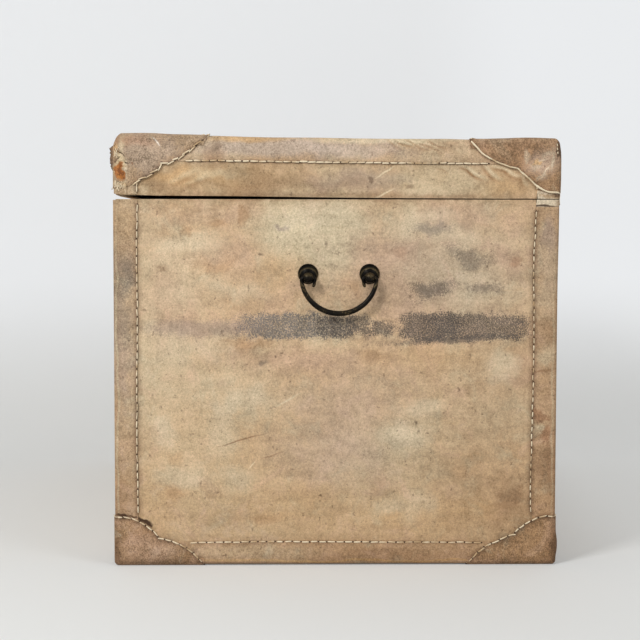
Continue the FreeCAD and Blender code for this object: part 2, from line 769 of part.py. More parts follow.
def tail_solid(x, y, z):
    """The tail tapers from the bend to a rounded tip that leans towards the ball."""
    rod, tip = value("rod_radius"), value("tail_tip")
    length, slant = value("tail_length"), value("tail_slant")
    top = FreeCAD.Vector(x, y, z)
    end = FreeCAD.Vector(x, y + slant, z - length)
    down = FreeCAD.Vector(0, 0, -1)
    rings = [Part.Wire(Part.makeCircle(rod, top, down)),
             Part.Wire(Part.makeCircle(tip, end, down))]
    cone = Part.makeLoft(rings, True, True)
    return cone.fuse(Part.makeSphere(tip, end))


def grip_solid(x, radius, rise, swing):
    """The arc of the bail, thickest in its middle, through circles square to its middle line."""
    rod, grip = value("rod_radius"), value("grip_radius")
    centre = FreeCAD.Vector(x, 0, rise)
    half = math.pi / 2 - swing
    spine = Part.Wire(Part.ArcOfCircle(
        Part.Circle(centre, FreeCAD.Vector(1, 0, 0), radius), *spine_range(half)).toShape())
    sweep = Part.BRepOffsetAPI.MakePipeShell(spine)
    for share in (-1, 0, 1):
        angle = share * half
        spot = centre + FreeCAD.Vector(0, radius * math.sin(angle), -radius * math.cos(angle))
        along = FreeCAD.Vector(0, math.cos(angle), math.sin(angle))
        sweep.add(Part.Wire(Part.makeCircle(grip if share == 0 else rod, spot, along)))
    sweep.build()
    sweep.makeSolid()
    return sweep.shape()


def spine_range(half):
    """Angles of the arc on a circle about X, which starts at the circle's own first point."""
    circle = Part.Circle(FreeCAD.Vector(), FreeCAD.Vector(1, 0, 0), 1)
    low = circle.parameter(FreeCAD.Vector(0, -math.sin(half), -math.cos(half)))
    high = circle.parameter(FreeCAD.Vector(0, math.sin(half), -math.cos(half)))
    return (low, high if high > low else high + 2 * math.pi)


def make_handles():
    """A handle on each end: posts, plates and washers on the chest, and a bail that swings."""
    for side, turns in (("right", 0), ("left", 180)):
        sign = 1 if side == "right" else -1
        for make, name in ((posts, "posts"), (rosettes, "rosettes"), (washers, "washers"),
                           (bail, "bail")):
            piece = make("%s_%s" % (side, name))
            place(piece, turns, "%d * (case_length / 2 + hide)" % sign, "handle_shift",
                  HANDLE_LEVEL)


# Checks and export

def sub_parts():
    """Every finished piece: bodies and features that no other object uses, in the order made."""
    return [thing for thing in doc.Objects
            if thing.TypeId in ("PartDesign::Body", "Part::Common", "Part::Feature")
            and not thing.Label.endswith(("_shell", "_region"))]


def check(pieces):
    """Stops if any object failed or any piece's shape is missing or broken."""
    for thing in doc.Objects:
        if "Invalid" in thing.State or "Error" in thing.State:
            raise ValueError("%s failed: %s" % (thing.Label, thing.State))
    for piece in pieces:
        if piece.Shape.isNull() or not piece.Shape.isValid() or not piece.Shape.Solids:
            raise ValueError("%s has no valid solid" % piece.Label)


def export(pieces):
    os.makedirs("parts", exist_ok=True)
    for piece in pieces:
        piece.Shape.exportStep("parts/%s.step" % piece.Label)
        print(piece.Label, len(piece.Shape.Solids), round(piece.Shape.Volume))


make_case()
make_lid_frame()
make_panels()
make_strips()
make_patches()
make_hinge()
make_handles()
doc.recompute()
finished = sub_parts()
check(finished)
export(finished)
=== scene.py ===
"""Looks of a blanket chest covered in stitched parchment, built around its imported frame.

The hides, the boards and the bails are worn copies of their solids, moved out of true
together. The thread, the torn corner and the hinge's fold are made here. The other metal keeps
its solids and gets its finish here.
"""

import logging
import math
import random
from collections.abc import Iterable, Iterator, Sequence
from contextlib import contextmanager
from dataclasses import dataclass, field
from enum import Enum

import bpy
import numpy as np
from mathutils import Matrix, Quaternion, Vector, kdtree, noise


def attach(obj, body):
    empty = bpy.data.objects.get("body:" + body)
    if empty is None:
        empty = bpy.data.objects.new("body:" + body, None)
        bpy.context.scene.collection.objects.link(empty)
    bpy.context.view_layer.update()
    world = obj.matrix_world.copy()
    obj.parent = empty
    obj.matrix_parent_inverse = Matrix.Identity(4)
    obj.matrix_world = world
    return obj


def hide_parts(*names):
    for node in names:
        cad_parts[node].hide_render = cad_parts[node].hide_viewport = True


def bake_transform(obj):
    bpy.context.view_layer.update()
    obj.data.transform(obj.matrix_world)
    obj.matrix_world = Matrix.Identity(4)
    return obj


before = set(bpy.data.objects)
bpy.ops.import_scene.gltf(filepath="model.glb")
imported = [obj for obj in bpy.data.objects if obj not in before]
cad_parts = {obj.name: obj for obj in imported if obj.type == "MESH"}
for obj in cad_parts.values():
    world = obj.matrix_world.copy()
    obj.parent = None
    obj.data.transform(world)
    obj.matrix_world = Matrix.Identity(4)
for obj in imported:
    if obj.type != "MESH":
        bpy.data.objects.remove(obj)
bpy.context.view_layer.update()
LOG = logging.getLogger("chest")
SEED = 5329
Point = tuple[float, float, float]
CUT_MARGIN, CUT_REACH = 0.0003, 0.55


# ---------------------------------------------------------------- the bench

class Bench:
    """The bench tools: selections, edit mode and the few operators used on every piece."""

    @staticmethod
    def clear() -> None:
        """Deselects every object."""
        bpy.ops.object.select_all(action="DESELECT")

    @staticmethod
    def take(piece: bpy.types.Object) -> None:
        """Makes one piece the only selected and active one."""
        Bench.clear()
        piece.select_set(True)
        bpy.context.view_layer.objects.active = piece

    @staticmethod
    @contextmanager
    def editing(piece: bpy.types.Object) -> Iterator[None]:
        """Opens a mesh piece in edit mode, all its faces selected."""
        Bench.take(piece)
        bpy.ops.object.mode_set(mode="EDIT")
        bpy.ops.mesh.select_mode(type="FACE")
        bpy.ops.mesh.select_all(action="SELECT")
        yield
        bpy.ops.object.mode_set(mode="OBJECT")

    @staticmethod
    def add(name: str, data: bpy.types.ID) -> bpy.types.Object:
        """Puts a new object with that data in the scene."""
        made = bpy.data.objects.new(name, data)
        bpy.context.scene.collection.objects.link(made)
        return made

    @staticmethod
    def copy_node(node: str, name: str) -> bpy.types.Object:
        """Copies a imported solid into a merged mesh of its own.

        Args:
            node: The solid's name.
            name: The new piece's name.

        Returns:
            The new piece, with flat faces whole again.
        """
        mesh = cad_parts[node].data.copy()
        mesh.name = name
        mesh.materials.clear()
        piece = Bench.add(name, mesh)
        with Bench.editing(piece):
            bpy.ops.mesh.remove_doubles(threshold=1e-6)
            bpy.ops.mesh.select_all(action="SELECT")
            bpy.ops.mesh.dissolve_limited(angle_limit=0.01)
        return piece

    @staticmethod
    def cut(piece: bpy.types.Object, axis: int, places: Iterable[float]) -> None:
        """Cuts a piece along planes across one axis.

        Args:
            piece: The mesh piece.
            axis: 0, 1 or 2.
            places: Where the planes stand on that axis.
        """
        ends = [corner[axis] for corner in piece.bound_box]
        low, high = min(ends) + CUT_MARGIN, max(ends) - CUT_MARGIN
        normal = [0.0, 0.0, 0.0]
        normal[axis] = 1.0
        with Bench.editing(piece):
            for place in sorted(set(places)):
                if low < place < high:
                    point = [0.0, 0.0, 0.0]
                    point[axis] = place
                    bpy.ops.mesh.select_all(action="SELECT")
                    bpy.ops.mesh.bisect(plane_co=point, plane_no=normal)

    @staticmethod
    def cut_grid(piece: bpy.types.Object, step: float) -> None:
        """Cuts a piece every step along all three axes."""
        reach = 1 + int(CUT_REACH / step)
        places = [step * k for k in range(-reach, reach + 1)]
        for axis in range(3):
            Bench.cut(piece, axis, places)

    @staticmethod
    def smooth(piece: bpy.types.Object, degrees: float = 40.0) -> None:
        """Shades a piece smooth, but for edges sharper than an angle."""
        Bench.take(piece)
        bpy.ops.object.shade_smooth_by_angle(angle=math.radians(degrees))

    @staticmethod
    def join(pieces: Sequence[bpy.types.Object], name: str) -> bpy.types.Object:
        """Joins pieces into the first one and names it.

        Args:
            pieces: The pieces, all meshes.
            name: The joined piece's name.

        Returns:
            The joined piece.
        """
        Bench.clear()
        for piece in pieces:
            piece.select_set(True)
        bpy.context.view_layer.objects.active = pieces[0]
        if len(pieces) > 1:
            bpy.ops.object.join()
        pieces[0].name = pieces[0].data.name = name
        return pieces[0]

    @staticmethod
    def bake_place(piece: bpy.types.Object) -> None:
        """Puts a piece's place, turn and scale into its mesh."""
        Bench.take(piece)
        bpy.ops.object.transform_apply(location=True, rotation=True, scale=True)

    @staticmethod
    def grid(name: str, columns: int, rows: int) -> bpy.types.Object:
        """A flat grid, 1 m square."""
        bpy.ops.mesh.primitive_grid_add(x_subdivisions=columns, y_subdivisions=rows, size=1.0)
        piece = bpy.context.object
        piece.name = piece.data.name = name
        return piece

    @staticmethod
    def face_out(piece: bpy.types.Object) -> None:
        """Turns all faces outward."""
        with Bench.editing(piece):
            bpy.ops.mesh.normals_make_consistent(inside=False)

    @staticmethod
    def thicken(piece: bpy.types.Object, thickness: float) -> None:
        """Makes a sheet a thin, smooth solid about its middle."""
        skin = piece.modifiers.new("skin", "SOLIDIFY")
        skin.thickness = thickness
        skin.offset = 0.0
        Bench.take(piece)
        bpy.ops.object.modifier_apply(modifier=skin.name)
        Bench.face_out(piece)
        Bench.smooth(piece)

    @staticmethod
    def paint(piece: bpy.types.Object, *finishes: bpy.types.Material) -> None:
        """Gives a piece its finishes, in the order of its faces' numbers."""
        piece.data.materials.clear()
        for finish in finishes:
            piece.data.materials.append(finish)

    @staticmethod
    def layer(piece: bpy.types.Object, name: str, values: np.ndarray) -> None:
        """Gives each point of a piece a value that its finish reads."""
        made = piece.data.attributes.new(name, "FLOAT", "POINT")
        made.data.foreach_set("value", values)


def read_points(piece: bpy.types.Object) -> np.ndarray:
    """The mesh's points as an array of rows."""
    flat = np.empty(len(piece.data.vertices) * 3)
    piece.data.vertices.foreach_get("co", flat)
    return flat.reshape(-1, 3)


def write_points(piece: bpy.types.Object, points: np.ndarray) -> None:
    """Puts the rows of an array back as the mesh's points."""
    piece.data.vertices.foreach_set("co", points.ravel())
    piece.data.update()


def ramp(value: np.ndarray, start: float, end: float) -> np.ndarray:
    """Smooth step from 0 at start to 1 at end, also where end is below start."""
    part = np.clip((value - start) / (end - start), 0.0, 1.0)
    return part * part * (3 - 2 * part)


def lumps(points: np.ndarray, scale: float) -> np.ndarray:
    """Noise about 0 at each point, scale lumps per metre."""
    return np.array([noise.noise(Vector(p) * scale) for p in points])


# ---------------------------------------------------------------- shader sheets

class Wire:
    """One output socket of a shader sheet, with arithmetic on it."""

    def __init__(self, sheet: "ShaderSheet", socket: bpy.types.NodeSocket) -> None:
        """Keeps the sheet and the socket."""
        self.sheet = sheet
        self.socket = socket

    def _maths(self, operation: str, *terms: "Wire | float") -> "Wire":
        """The result of one Math node on these terms."""
        return self.sheet.out("ShaderNodeMath", {"operation": operation}, dict(enumerate(terms)))

    def __add__(self, other: "Wire | float") -> "Wire":
        """Sum."""
        return self._maths("ADD", self, other)

    __radd__ = __add__

    def __sub__(self, other: "Wire | float") -> "Wire":
        """Difference."""
        return self._maths("SUBTRACT", self, other)

    def __rsub__(self, other: float) -> "Wire":
        """Difference the other way round."""
        return self._maths("SUBTRACT", other, self)

    def __mul__(self, other: "Wire | float") -> "Wire":
        """Product."""
        return self._maths("MULTIPLY", self, other)

    __rmul__ = __mul__

    def __pow__(self, other: float) -> "Wire":
        """Power."""
        return self._maths("POWER", self, other)

    def most(self, other: "Wire | float") -> "Wire":
        """The larger of two."""
        return self._maths("MAXIMUM", self, other)

    def least(self, other: "Wire | float") -> "Wire":
        """The smaller of two."""
        return self._maths("MINIMUM", self, other)

    def step(self, start: float, end: float) -> "Wire":
        """Smooth step from 0 at start to 1 at end, also where end is below start."""
        low, high = (start, end) if start < end else (end, start)
        rise = self.sheet.out("ShaderNodeMapRange", {"interpolation_type": "SMOOTHSTEP"},
                              {"Value": self, "From Min": low, "From Max": high})
        return rise if start < end else 1 - rise


class ShaderSheet:
    """A material's or a world's node tree, written as expressions."""

    def __init__(self, name: str, world: bool = False) -> None:
        """Starts an empty material, or world, of that name."""
        self.owner = (bpy.data.worlds if world else bpy.data.materials).new(name)
        self.owner.use_nodes = True
        self.tree = self.owner.node_tree
        self.tree.nodes.clear()
        self.strays: dict[tuple[float, float], Wire] = {}
        if not world:
            self.place = self.out("ShaderNodeTexCoord", {}, {}, "Object")

    def node(self, kind: str, settings: dict[str, object],
             inputs: dict[str | int, object]) -> bpy.types.Node:
        """Adds a node.

        Args:
            kind: The node's type.
            settings: Its settings.
            inputs: Values or wires for its sockets, by name or number.

        Returns:
            The node.
        """
        made = self.tree.nodes.new(kind)
        for name, value in settings.items():
            setattr(made, name, value)
        for name, value in inputs.items():
            socket = made.inputs[name]
            if isinstance(value, Wire):
                self.tree.links.new(value.socket, socket)
            elif isinstance(value, tuple) and len(value) == 3 and socket.type == "RGBA":
                socket.default_value = (*value, 1.0)
            else:
                socket.default_value = value
        return made

    def out(self, kind: str, settings: dict[str, object], inputs: dict[str | int, object],
            output: str | int = 0) -> Wire:
        """Adds a node and returns one of its outputs."""
        return Wire(self, self.node(kind, settings, inputs).outputs[output])

    def noise(self, scale: float, detail: float = 3.0, rough: float = 0.5,
              place: Wire | None = None, bend: float = 0.0) -> Wire:
        """Noise about 0.5 on Object coordinates.

        Args:
            scale: Lumps per metre.
            detail: Octaves.
            rough: Strength of the finer octaves.
            place: Other coordinates to read.
            bend: Distortion.

        Returns:
            The noise value.
        """
        return self.out("ShaderNodeTexNoise", {}, {
            "Vector": place or self.place, "Scale": scale, "Detail": detail,
            "Roughness": rough, "Distortion": bend})

    def stretch(self, factors: Point, turn: Point = (0.0, 0.0, 0.0)) -> Wire:
        """Object coordinates turned and scaled."""
        return self.out("ShaderNodeMapping", {}, {
            "Vector": self.place, "Scale": factors, "Rotation": turn})

    def vector(self, operation: str, first: Wire, second: "Wire | Point") -> Wire:
        """Vector arithmetic."""
        return self.out("ShaderNodeVectorMath", {"operation": operation}, {0: first, 1: second})

    def seen(self) -> Wire:
        """1 for what the camera sees, straight or in a gloss, and 0 for what lights the scene."""
        rays = self.node("ShaderNodeLightPath", {}, {})
        return Wire(self, rays.outputs["Is Camera Ray"]).most(
            Wire(self, rays.outputs["Is Glossy Ray"]))

    def wander(self, scale: float, reach: float) -> Wire:
        """Object coordinates that stray, so that what is drawn on them looks unruled.

        Args:
            scale: Turns per metre.
            reach: How far they may stray, in metres.

        Returns:
            The coordinates, made once for each pair of values.
        """
        if (scale, reach) not in self.strays:
            drift = self.out("ShaderNodeTexNoise", {}, {
                "Vector": self.place, "Scale": scale, "Detail": 2.0}, "Color")
            centred = self.vector("SUBTRACT", drift, (0.5, 0.5, 0.5))
            small = self.out("ShaderNodeVectorMath", {"operation": "SCALE"},
                             {0: centred, "Scale": reach})
            self.strays[scale, reach] = self.vector("ADD", self.place, small)
        return self.strays[scale, reach]

    def axis(self, index: int) -> Wire:
        """One of the Object coordinates."""
        return self.out("ShaderNodeSeparateXYZ", {}, {0: self.place}, index)

    def attribute(self, name: str) -> Wire:
        """A piece's own value at each point."""
        return self.out("ShaderNodeAttribute", {"attribute_name": name}, {}, "Fac")

    def mix(self, factor: Wire | float, first: "Wire | Point", second: "Wire | Point",
            blend: str = "MIX") -> Wire:
        """Mixes two colours."""
        return self.out("ShaderNodeMix", {"data_type": "RGBA", "blend_type": blend},
                        {0: factor, 6: first, 7: second}, 2)

    def bump(self, height: Wire, strength: float, depth: float) -> Wire:
        """A normal from a height in 0 to 1 that stands for depth metres."""
        return self.out("ShaderNodeBump", {}, {
            "Height": height, "Strength": strength, "Distance": depth})

    def finish(self, colour: "Wire | Point", roughness: "Wire | float", normal: Wire | None,
               **uniform: float) -> bpy.types.Material:
        """Ends the sheet with one Principled shader.

        Args:
            colour: Base colour.
            roughness: Roughness.
            normal: The bumped normal.
            uniform: Other sockets by name, with _ for a blank.

        Returns:
            The material.
        """
        inputs: dict[str | int, object] = {"Base Color": colour, "Roughness": roughness}
        if normal is not None:
            inputs["Normal"] = normal
        inputs.update({name.replace("_", " "): value for name, value in uniform.items()})
        shader = self.out("ShaderNodeBsdfPrincipled", {}, inputs)
        self.node("ShaderNodeOutputMaterial", {}, {"Surface": shader})
        return self.owner


def linear(red: int, green: int, blue: int) -> Point:
    """A colour as seen on a screen, 0 to 255, as linear light."""
    def one(value: int) -> float:
        """One channel."""
        part = value / 255
        return part / 12.92 if part <= 0.04045 else ((part + 0.055) / 1.055) ** 2.4
    return (one(red), one(green), one(blue))


# ---------------------------------------------------------------- finishes

LONG_MARK, SMALL_MARK, FINE_MARK = 6, 0.007, 0.011
LONG_STRAY, SMALL_STRAY, BROAD_STRAY = (26.0, 0.010), (70.0, 0.016), (26.0, 0.045)
EDGE_NOISE, SPECKLE_NOISE, BARE_FIBRES = 2.4, 2.0, 0.58


@dataclass(frozen=True)
class HideMark:
    """A soft-edged mark on the hide.

    The centre and the radii are in metres, strength runs from 0 to 1, ragged says how far noise
    eats into its edge and speckle how far it is broken up, and lean is in degrees.
    """

    centre: Point
    radii: Point
    strength: float
    colour: Point
    ragged: float
    soft: float
    speckle: float = 0.0
    lean: float = 0.0
    square: bool = False

    def mask(self, sheet: ShaderSheet, edge: Wire, speckle: Wire) -> Wire:
        """The stain's mask.

        Args:
            sheet: The sheet that it is drawn on.
            edge: Noise that eats its edge.
            speckle: Fine noise that breaks it up.

        Returns:
            A value from 0 to the strength.
        """
        if max(self.radii[1:]) > LONG_MARK * min(self.radii) and not self.square:
            place = sheet.wander(*LONG_STRAY)
        elif self.square or min(self.radii) < SMALL_MARK:
            place = sheet.wander(*SMALL_STRAY)
        else:
            place = sheet.wander(*BROAD_STRAY)
        offset = sheet.vector("SUBTRACT", place, self.centre)
        if self.lean:
            offset = sheet.out("ShaderNodeVectorRotate", {"rotation_type": "X_AXIS"},
                               {"Vector": offset, "Angle": math.radians(self.lean)})
        scaled = sheet.vector("MULTIPLY", offset, tuple(1 / radius for radius in self.radii))
        if self.square:
            scaled = sheet.vector("MULTIPLY", scaled, scaled)
        reach = sheet.out("ShaderNodeVectorMath", {"operation": "LENGTH"}, {0: scaled}, "Value")
        if self.square:
            reach = reach ** 0.5
        reach = reach + (edge - 0.5) * (EDGE_NOISE * self.ragged)
        if self.speckle:
            reach = reach + (speckle - 0.5) * (SPECKLE_NOISE * self.speckle)
        shown = reach.step(1.0 + self.soft, 1.0 - self.soft) * self.strength
        if self.square:
            shown = shown * (1.0 - speckle.step(0.47, 0.62) * BARE_FIBRES)
        return shown


BLUE_GREY = linear(110, 104, 98)
GREY_VIOLET = linear(88, 79, 72)
MAUVE = linear(148, 130, 122)
UMBER = linear(74, 50, 32)
BROWN = linear(126, 92, 62)
ROSE = linear(184, 152, 126)
OCHRE = linear(186, 150, 106)
CREAM = linear(208, 194, 163)
CHALK = linear(214, 204, 190)
FIBRE_AND_HIGHLIGHT = linear(222, 204, 170)
RUST = linear(158, 96, 38)
LILAC = linear(180, 162, 146)
PALE = linear(196, 178, 152)
CLOUD = linear(206, 189, 160)
TAWNY = linear(172, 134, 96)
TAN = linear(164, 132, 94)
RUSSET = linear(150, 106, 76)
TAR_AND_EDGE_SHADOW = linear(56, 36, 20)
FOLD_SHADE = linear(142, 104, 66)


END_FACE, MARK_DEPTH = 0.379, 0.06
BROAD = {"ragged": 0.5, "soft": 0.7}


def hide_marks(*rows: tuple, **words: "float | Point") -> tuple[HideMark, ...]:
    """Marks on the photographed end: stains, with a few painted highlights and shadows among them.

    Args:
        rows: For each, in millimetres, its place across and up and its half width and half
            height, then its strength, colour, ragged, soft, speckle, lean and square.
        words: Those of the latter that all rows share.

    Returns:
        The stains.
    """
    return tuple(HideMark((END_FACE, across / 1000, height / 1000),
                       (MARK_DEPTH, wide / 1000, tall / 1000), *rest, **words)
                 for across, height, wide, tall, *rest in rows)


PANEL_MARKS = hide_marks(
    (-30, 375, 62, 42, 0.42, CREAM), (-165, 340, 45, 26, 0.35, CREAM),
    (-120, 345, 30, 16, 0.55, ROSE), (-105, 402, 18, 22, 0.45, ROSE),
    (-150, 395, 60, 10, 0.30, ROSE), (-185, 290, 28, 40, 0.40, ROSE),
    (-60, 330, 26, 14, 0.35, OCHRE), (60, 350, 36, 20, 0.55, ROSE), (135, 396, 34, 18, 0.50, ROSE),
    (198, 344, 16, 14, 0.60, ROSE), (110, 330, 90, 60, 0.28, MAUVE),
    (105, 235, 60, 14, 0.30, OCHRE), (-40, 232, 70, 12, 0.45, ROSE),
    (20, 160, 60, 60, 0.30, LILAC), (80, 145, 26, 34, 0.35, CREAM),
    (-130, 120, 70, 50, 0.22, OCHRE), (150, 110, 60, 60, 0.16, BROWN),
    (120, 60, 70, 20, 0.30, OCHRE), (198, 66, 26, 34, 0.30, BROWN), (-60, 64, 90, 24, 0.22, OCHRE),
    (-205, 60, 20, 40, 0.30, OCHRE), (190, 215, 40, 60, 0.16, BROWN),
    (-150, 150, 40, 70, 0.22, CREAM), (-90, 190, 60, 24, 0.22, CREAM),
    (-20, 128, 60, 30, 0.20, LILAC), **BROAD) + hide_marks(
    (-118, 188, 17, 14, 0.55), (-84, 188, 12, 13, 0.55), (-194, 152, 15, 15, 0.55),
    (-167, 101, 24, 12, 0.45), (-110, 101, 16, 12, 0.40), (-128, 152, 14, 30, 0.35),
    (77, 146, 20, 13, 0.55), (99, 178, 15, 10, 0.40), (183, 222, 17, 12, 0.50),
    (92, 66, 24, 14, 0.40), (57, 68, 12, 9, 0.40), (-167, 361, 30, 9, 0.50),
    (-109, 310, 34, 9, 0.40), (-157, 246, 40, 14, 0.40), (100, 389, 34, 8, 0.35),
    (137, 371, 26, 9, 0.40), (-20, 392, 34, 12, 0.35),
    colour=CLOUD, ragged=0.7, soft=0.7) + hide_marks(
    (-102, 392, 6, 11, 0.55, TAWNY), (-131, 383, 9, 4.5, 0.50, TAWNY),
    (-167, 372, 7, 5, 0.45, TAWNY), (-194, 333, 5, 4, 0.45, BROWN),
    (-133, 336, 17, 10, 0.50, TAWNY), (-187, 80, 12, 9, 0.45, TAWNY),
    (-144, 88, 12, 8, 0.28, BROWN), (-76, 55, 16, 8, 0.40, TAWNY), (-176, 122, 9, 8, 0.35, TAWNY),
    (45, 240, 16, 10, 0.40, TAWNY), (190, 76, 14, 9, 0.34, BROWN), (204, 82, 5, 13, 0.34, BROWN),
    (142, 108, 16, 10, 0.30, TAWNY), (46, 90, 14, 9, 0.22, BROWN), (-98, 250, 30, 5, 0.45, TAWNY),
    (-105, 246, 8, 8, 0.35, TAWNY), (199, 341, 5, 5, 0.40, RUSSET), (66, 349, 12, 7, 0.25, RUSSET),
    (20, 314, 8, 12, 0.35, TAWNY), (8, 360, 7, 2.5, 0.20, UMBER),
    (-12, 361, 1.6, 2.2, 0.50, UMBER), ragged=0.7, soft=0.6) + hide_marks(
    (-44, 269, 62, 13.5, 0.94, BLUE_GREY, 0.30, 0.20, 0.6, 0, True),
    (10, 270, 30, 12, 0.80, GREY_VIOLET, 0.35, 0.25, 0.6, 0, True),
    (51, 266, 13, 8, 0.84, GREY_VIOLET, 0.45, 0.30, 0.6, 0, True),
    (106, 268, 32, 16, 0.92, GREY_VIOLET, 0.25, 0.16, 0.6, 0, True),
    (160, 268.5, 52, 14, 0.88, GREY_VIOLET, 0.30, 0.18, 0.6, 0, True),
    (140, 255, 70, 4, 0.7, GREY_VIOLET, 0.5, 0.4, 0.9, -3),
    (-150, 266, 60, 9, 0.45, MAUVE, 0.5, 0.5, 0.8),
    (106, 378, 20, 6, 0.48, BLUE_GREY, 0.55, 0.5, 0.8),
    (150, 348, 22, 8, 0.48, GREY_VIOLET, 0.60, 0.55, 1.0, 8),
    (106, 311, 26, 9, 0.70, GREY_VIOLET, 0.55, 0.50, 1.0, -6),
    (166, 312, 18, 5, 0.50, GREY_VIOLET, 0.60, 0.55, 1.0),
    (91.3, 162, 2.6, 2.6, 0.60, UMBER, 0.5, 0.6), (137, 198, 1.2, 2.2, 0.60, UMBER, 0.4, 0.6),
    (-81, 229, 4.5, 2.6, 0.55, GREY_VIOLET, 0.6, 0.6), (-67, 236, 1.6, 1.3, 0.65, UMBER, 0.4, 0.5),
    (-16.6, 78, 1.6, 1.6, 0.75, UMBER, 0.4, 0.5),
    (-106, 141.3, 24, 0.8, 0.75, BROWN, 0.4, 0.6, 0, -14),
    (-70, 124, 12, 0.7, 0.55, BROWN, 0.4, 0.6, 0, -16),
    (-54, 187, 15, 1.0, 0.55, CREAM, 0.4, 0.6, 0, -25),
    (-94, 114, 5, 0.8, 0.65, FIBRE_AND_HIGHLIGHT, 0.4, 0.6, 0, -50), (-84, 350, 3, 2, 0.55, UMBER, 0.4, 0.6),
    (-60, 378, 9, 3, 0.55, MAUVE, 0.6, 0.6),
    (-213.5, 48.4, 10.5, 2.4, 1.0, TAR_AND_EDGE_SHADOW, 0.30, 0.35, 0, 33))
STRIP_MARKS = hide_marks(
    (-238, 335, 10, 30, 0.50, GREY_VIOLET, 0.5, 0.6, 0.6),
    (-236, 288, 12, 40, 0.42, BLUE_GREY, 0.5, 0.6, 0.6),
    (-238, 220, 10, 40, 0.35, MAUVE, 0.5, 0.6), (-238, 385, 14, 26, 0.45, TAN, 0.5, 0.6),
    (240, 366, 8, 20, 0.45, MAUVE, 0.5, 0.6, 0.4), (234, 330, 14, 26, 0.30, ROSE, 0.5, 0.6),
    (236, 318, 14, 36, 0.50, linear(172, 154, 128), 0.4, 0.6),
    (238, 262, 12, 12, 0.28, BROWN, 0.5, 0.6),
    (232, 236, 13, 13, 0.60, linear(190, 172, 142), 0.5, 0.5, 0.5),
    (234, 218, 13, 1.6, 0.60, BROWN, 0.5, 0.5, 0, -6), (230.5, 167, 9, 8, 0.65, RUSSET, 0.7, 0.5),
    (237, 147, 6, 12, 0.60, RUSSET, 0.7, 0.5), (229, 156, 4.5, 4.5, 0.50, CREAM, 0.6, 0.5),
    (238, 110, 12, 30, 0.50, BROWN, 0.6, 0.6), (-237, 74, 13, 30, 0.34, BROWN, 0.5, 0.6),
    (238, 190, 10, 24, 0.24, TAWNY, 0.5, 0.6), (237, 58, 13, 26, 0.34, TAWNY, 0.5, 0.6),
    # Painted highlight: pale lines along the rounded upright edges of the two corner strips.
    (-243, 200, 1.2, 185, 0.45, CREAM, 0.35, 0.6), (243, 200, 1.2, 150, 0.30, CREAM, 0.35, 0.6),
    (-60, 5.5, 130, 1.3, 0.60, linear(206, 168, 116), 0.4, 0.5),
    (90, 5.5, 110, 1.3, 0.60, linear(190, 150, 98), 0.4, 0.5),
    (-239.9, 58.8, 5.8, 2.3, 1.0, TAR_AND_EDGE_SHADOW, 0.25, 0.3),
    (-228, 56.4, 6, 1.3, 0.90, TAR_AND_EDGE_SHADOW, 0.3, 0.4, 0, 20),
    (-70, 467, 90, 9, 0.75, LILAC, 0.4, 0.5, 0.4), (20, 466, 60, 10, 0.60, LILAC, 0.4, 0.5, 0.4),
    (-100, 477, 40, 4, 0.75, OCHRE, 0.5, 0.5), (-136, 462, 12, 10, 0.40, BROWN, 0.6, 0.6, 0, 35),
    (60, 476, 90, 4, 0.45, CREAM, 0.5, 0.5), (120, 463, 20, 10, 0.30, BROWN, 0.6, 0.6),
    (-100, 14, 80, 8, 0.20, CREAM, 0.5, 0.6), (60, 12, 90, 7, 0.40, BROWN, 0.5, 0.6))
LID_MARKS = hide_marks(
    (0, 430, 270, 24, 0.46, TAN), (-165, 432, 100, 26, 0.50, linear(146, 114, 74)),
    (-170, 436, 40, 8, 0.75, OCHRE), (-140, 438, 26, 5, 0.35, CREAM),
    (-80, 424, 60, 10, 0.26, BROWN), (20, 430, 50, 12, 0.42, MAUVE), (8, 425, 40, 8, 0.26, BROWN),
    (110, 430, 60, 12, 0.30, CREAM), (190, 426, 26, 10, 0.55, OCHRE),
    (-195, 420, 14, 10, 0.35, BROWN), (0, 413, 220, 4, 0.40, BROWN), **BROAD) + hide_marks(
    (55, 440, 11, 0.9, 0.7, FIBRE_AND_HIGHLIGHT, 0.4, 0.6, 0, -35),
    (53, 417, 10, 0.8, 0.6, FIBRE_AND_HIGHLIGHT, 0.4, 0.6, 0, -25), (38, 431, 4, 3, 0.55, UMBER, 0.5, 0.5),
    (82, 424, 5, 3, 0.45, UMBER, 0.5, 0.5))
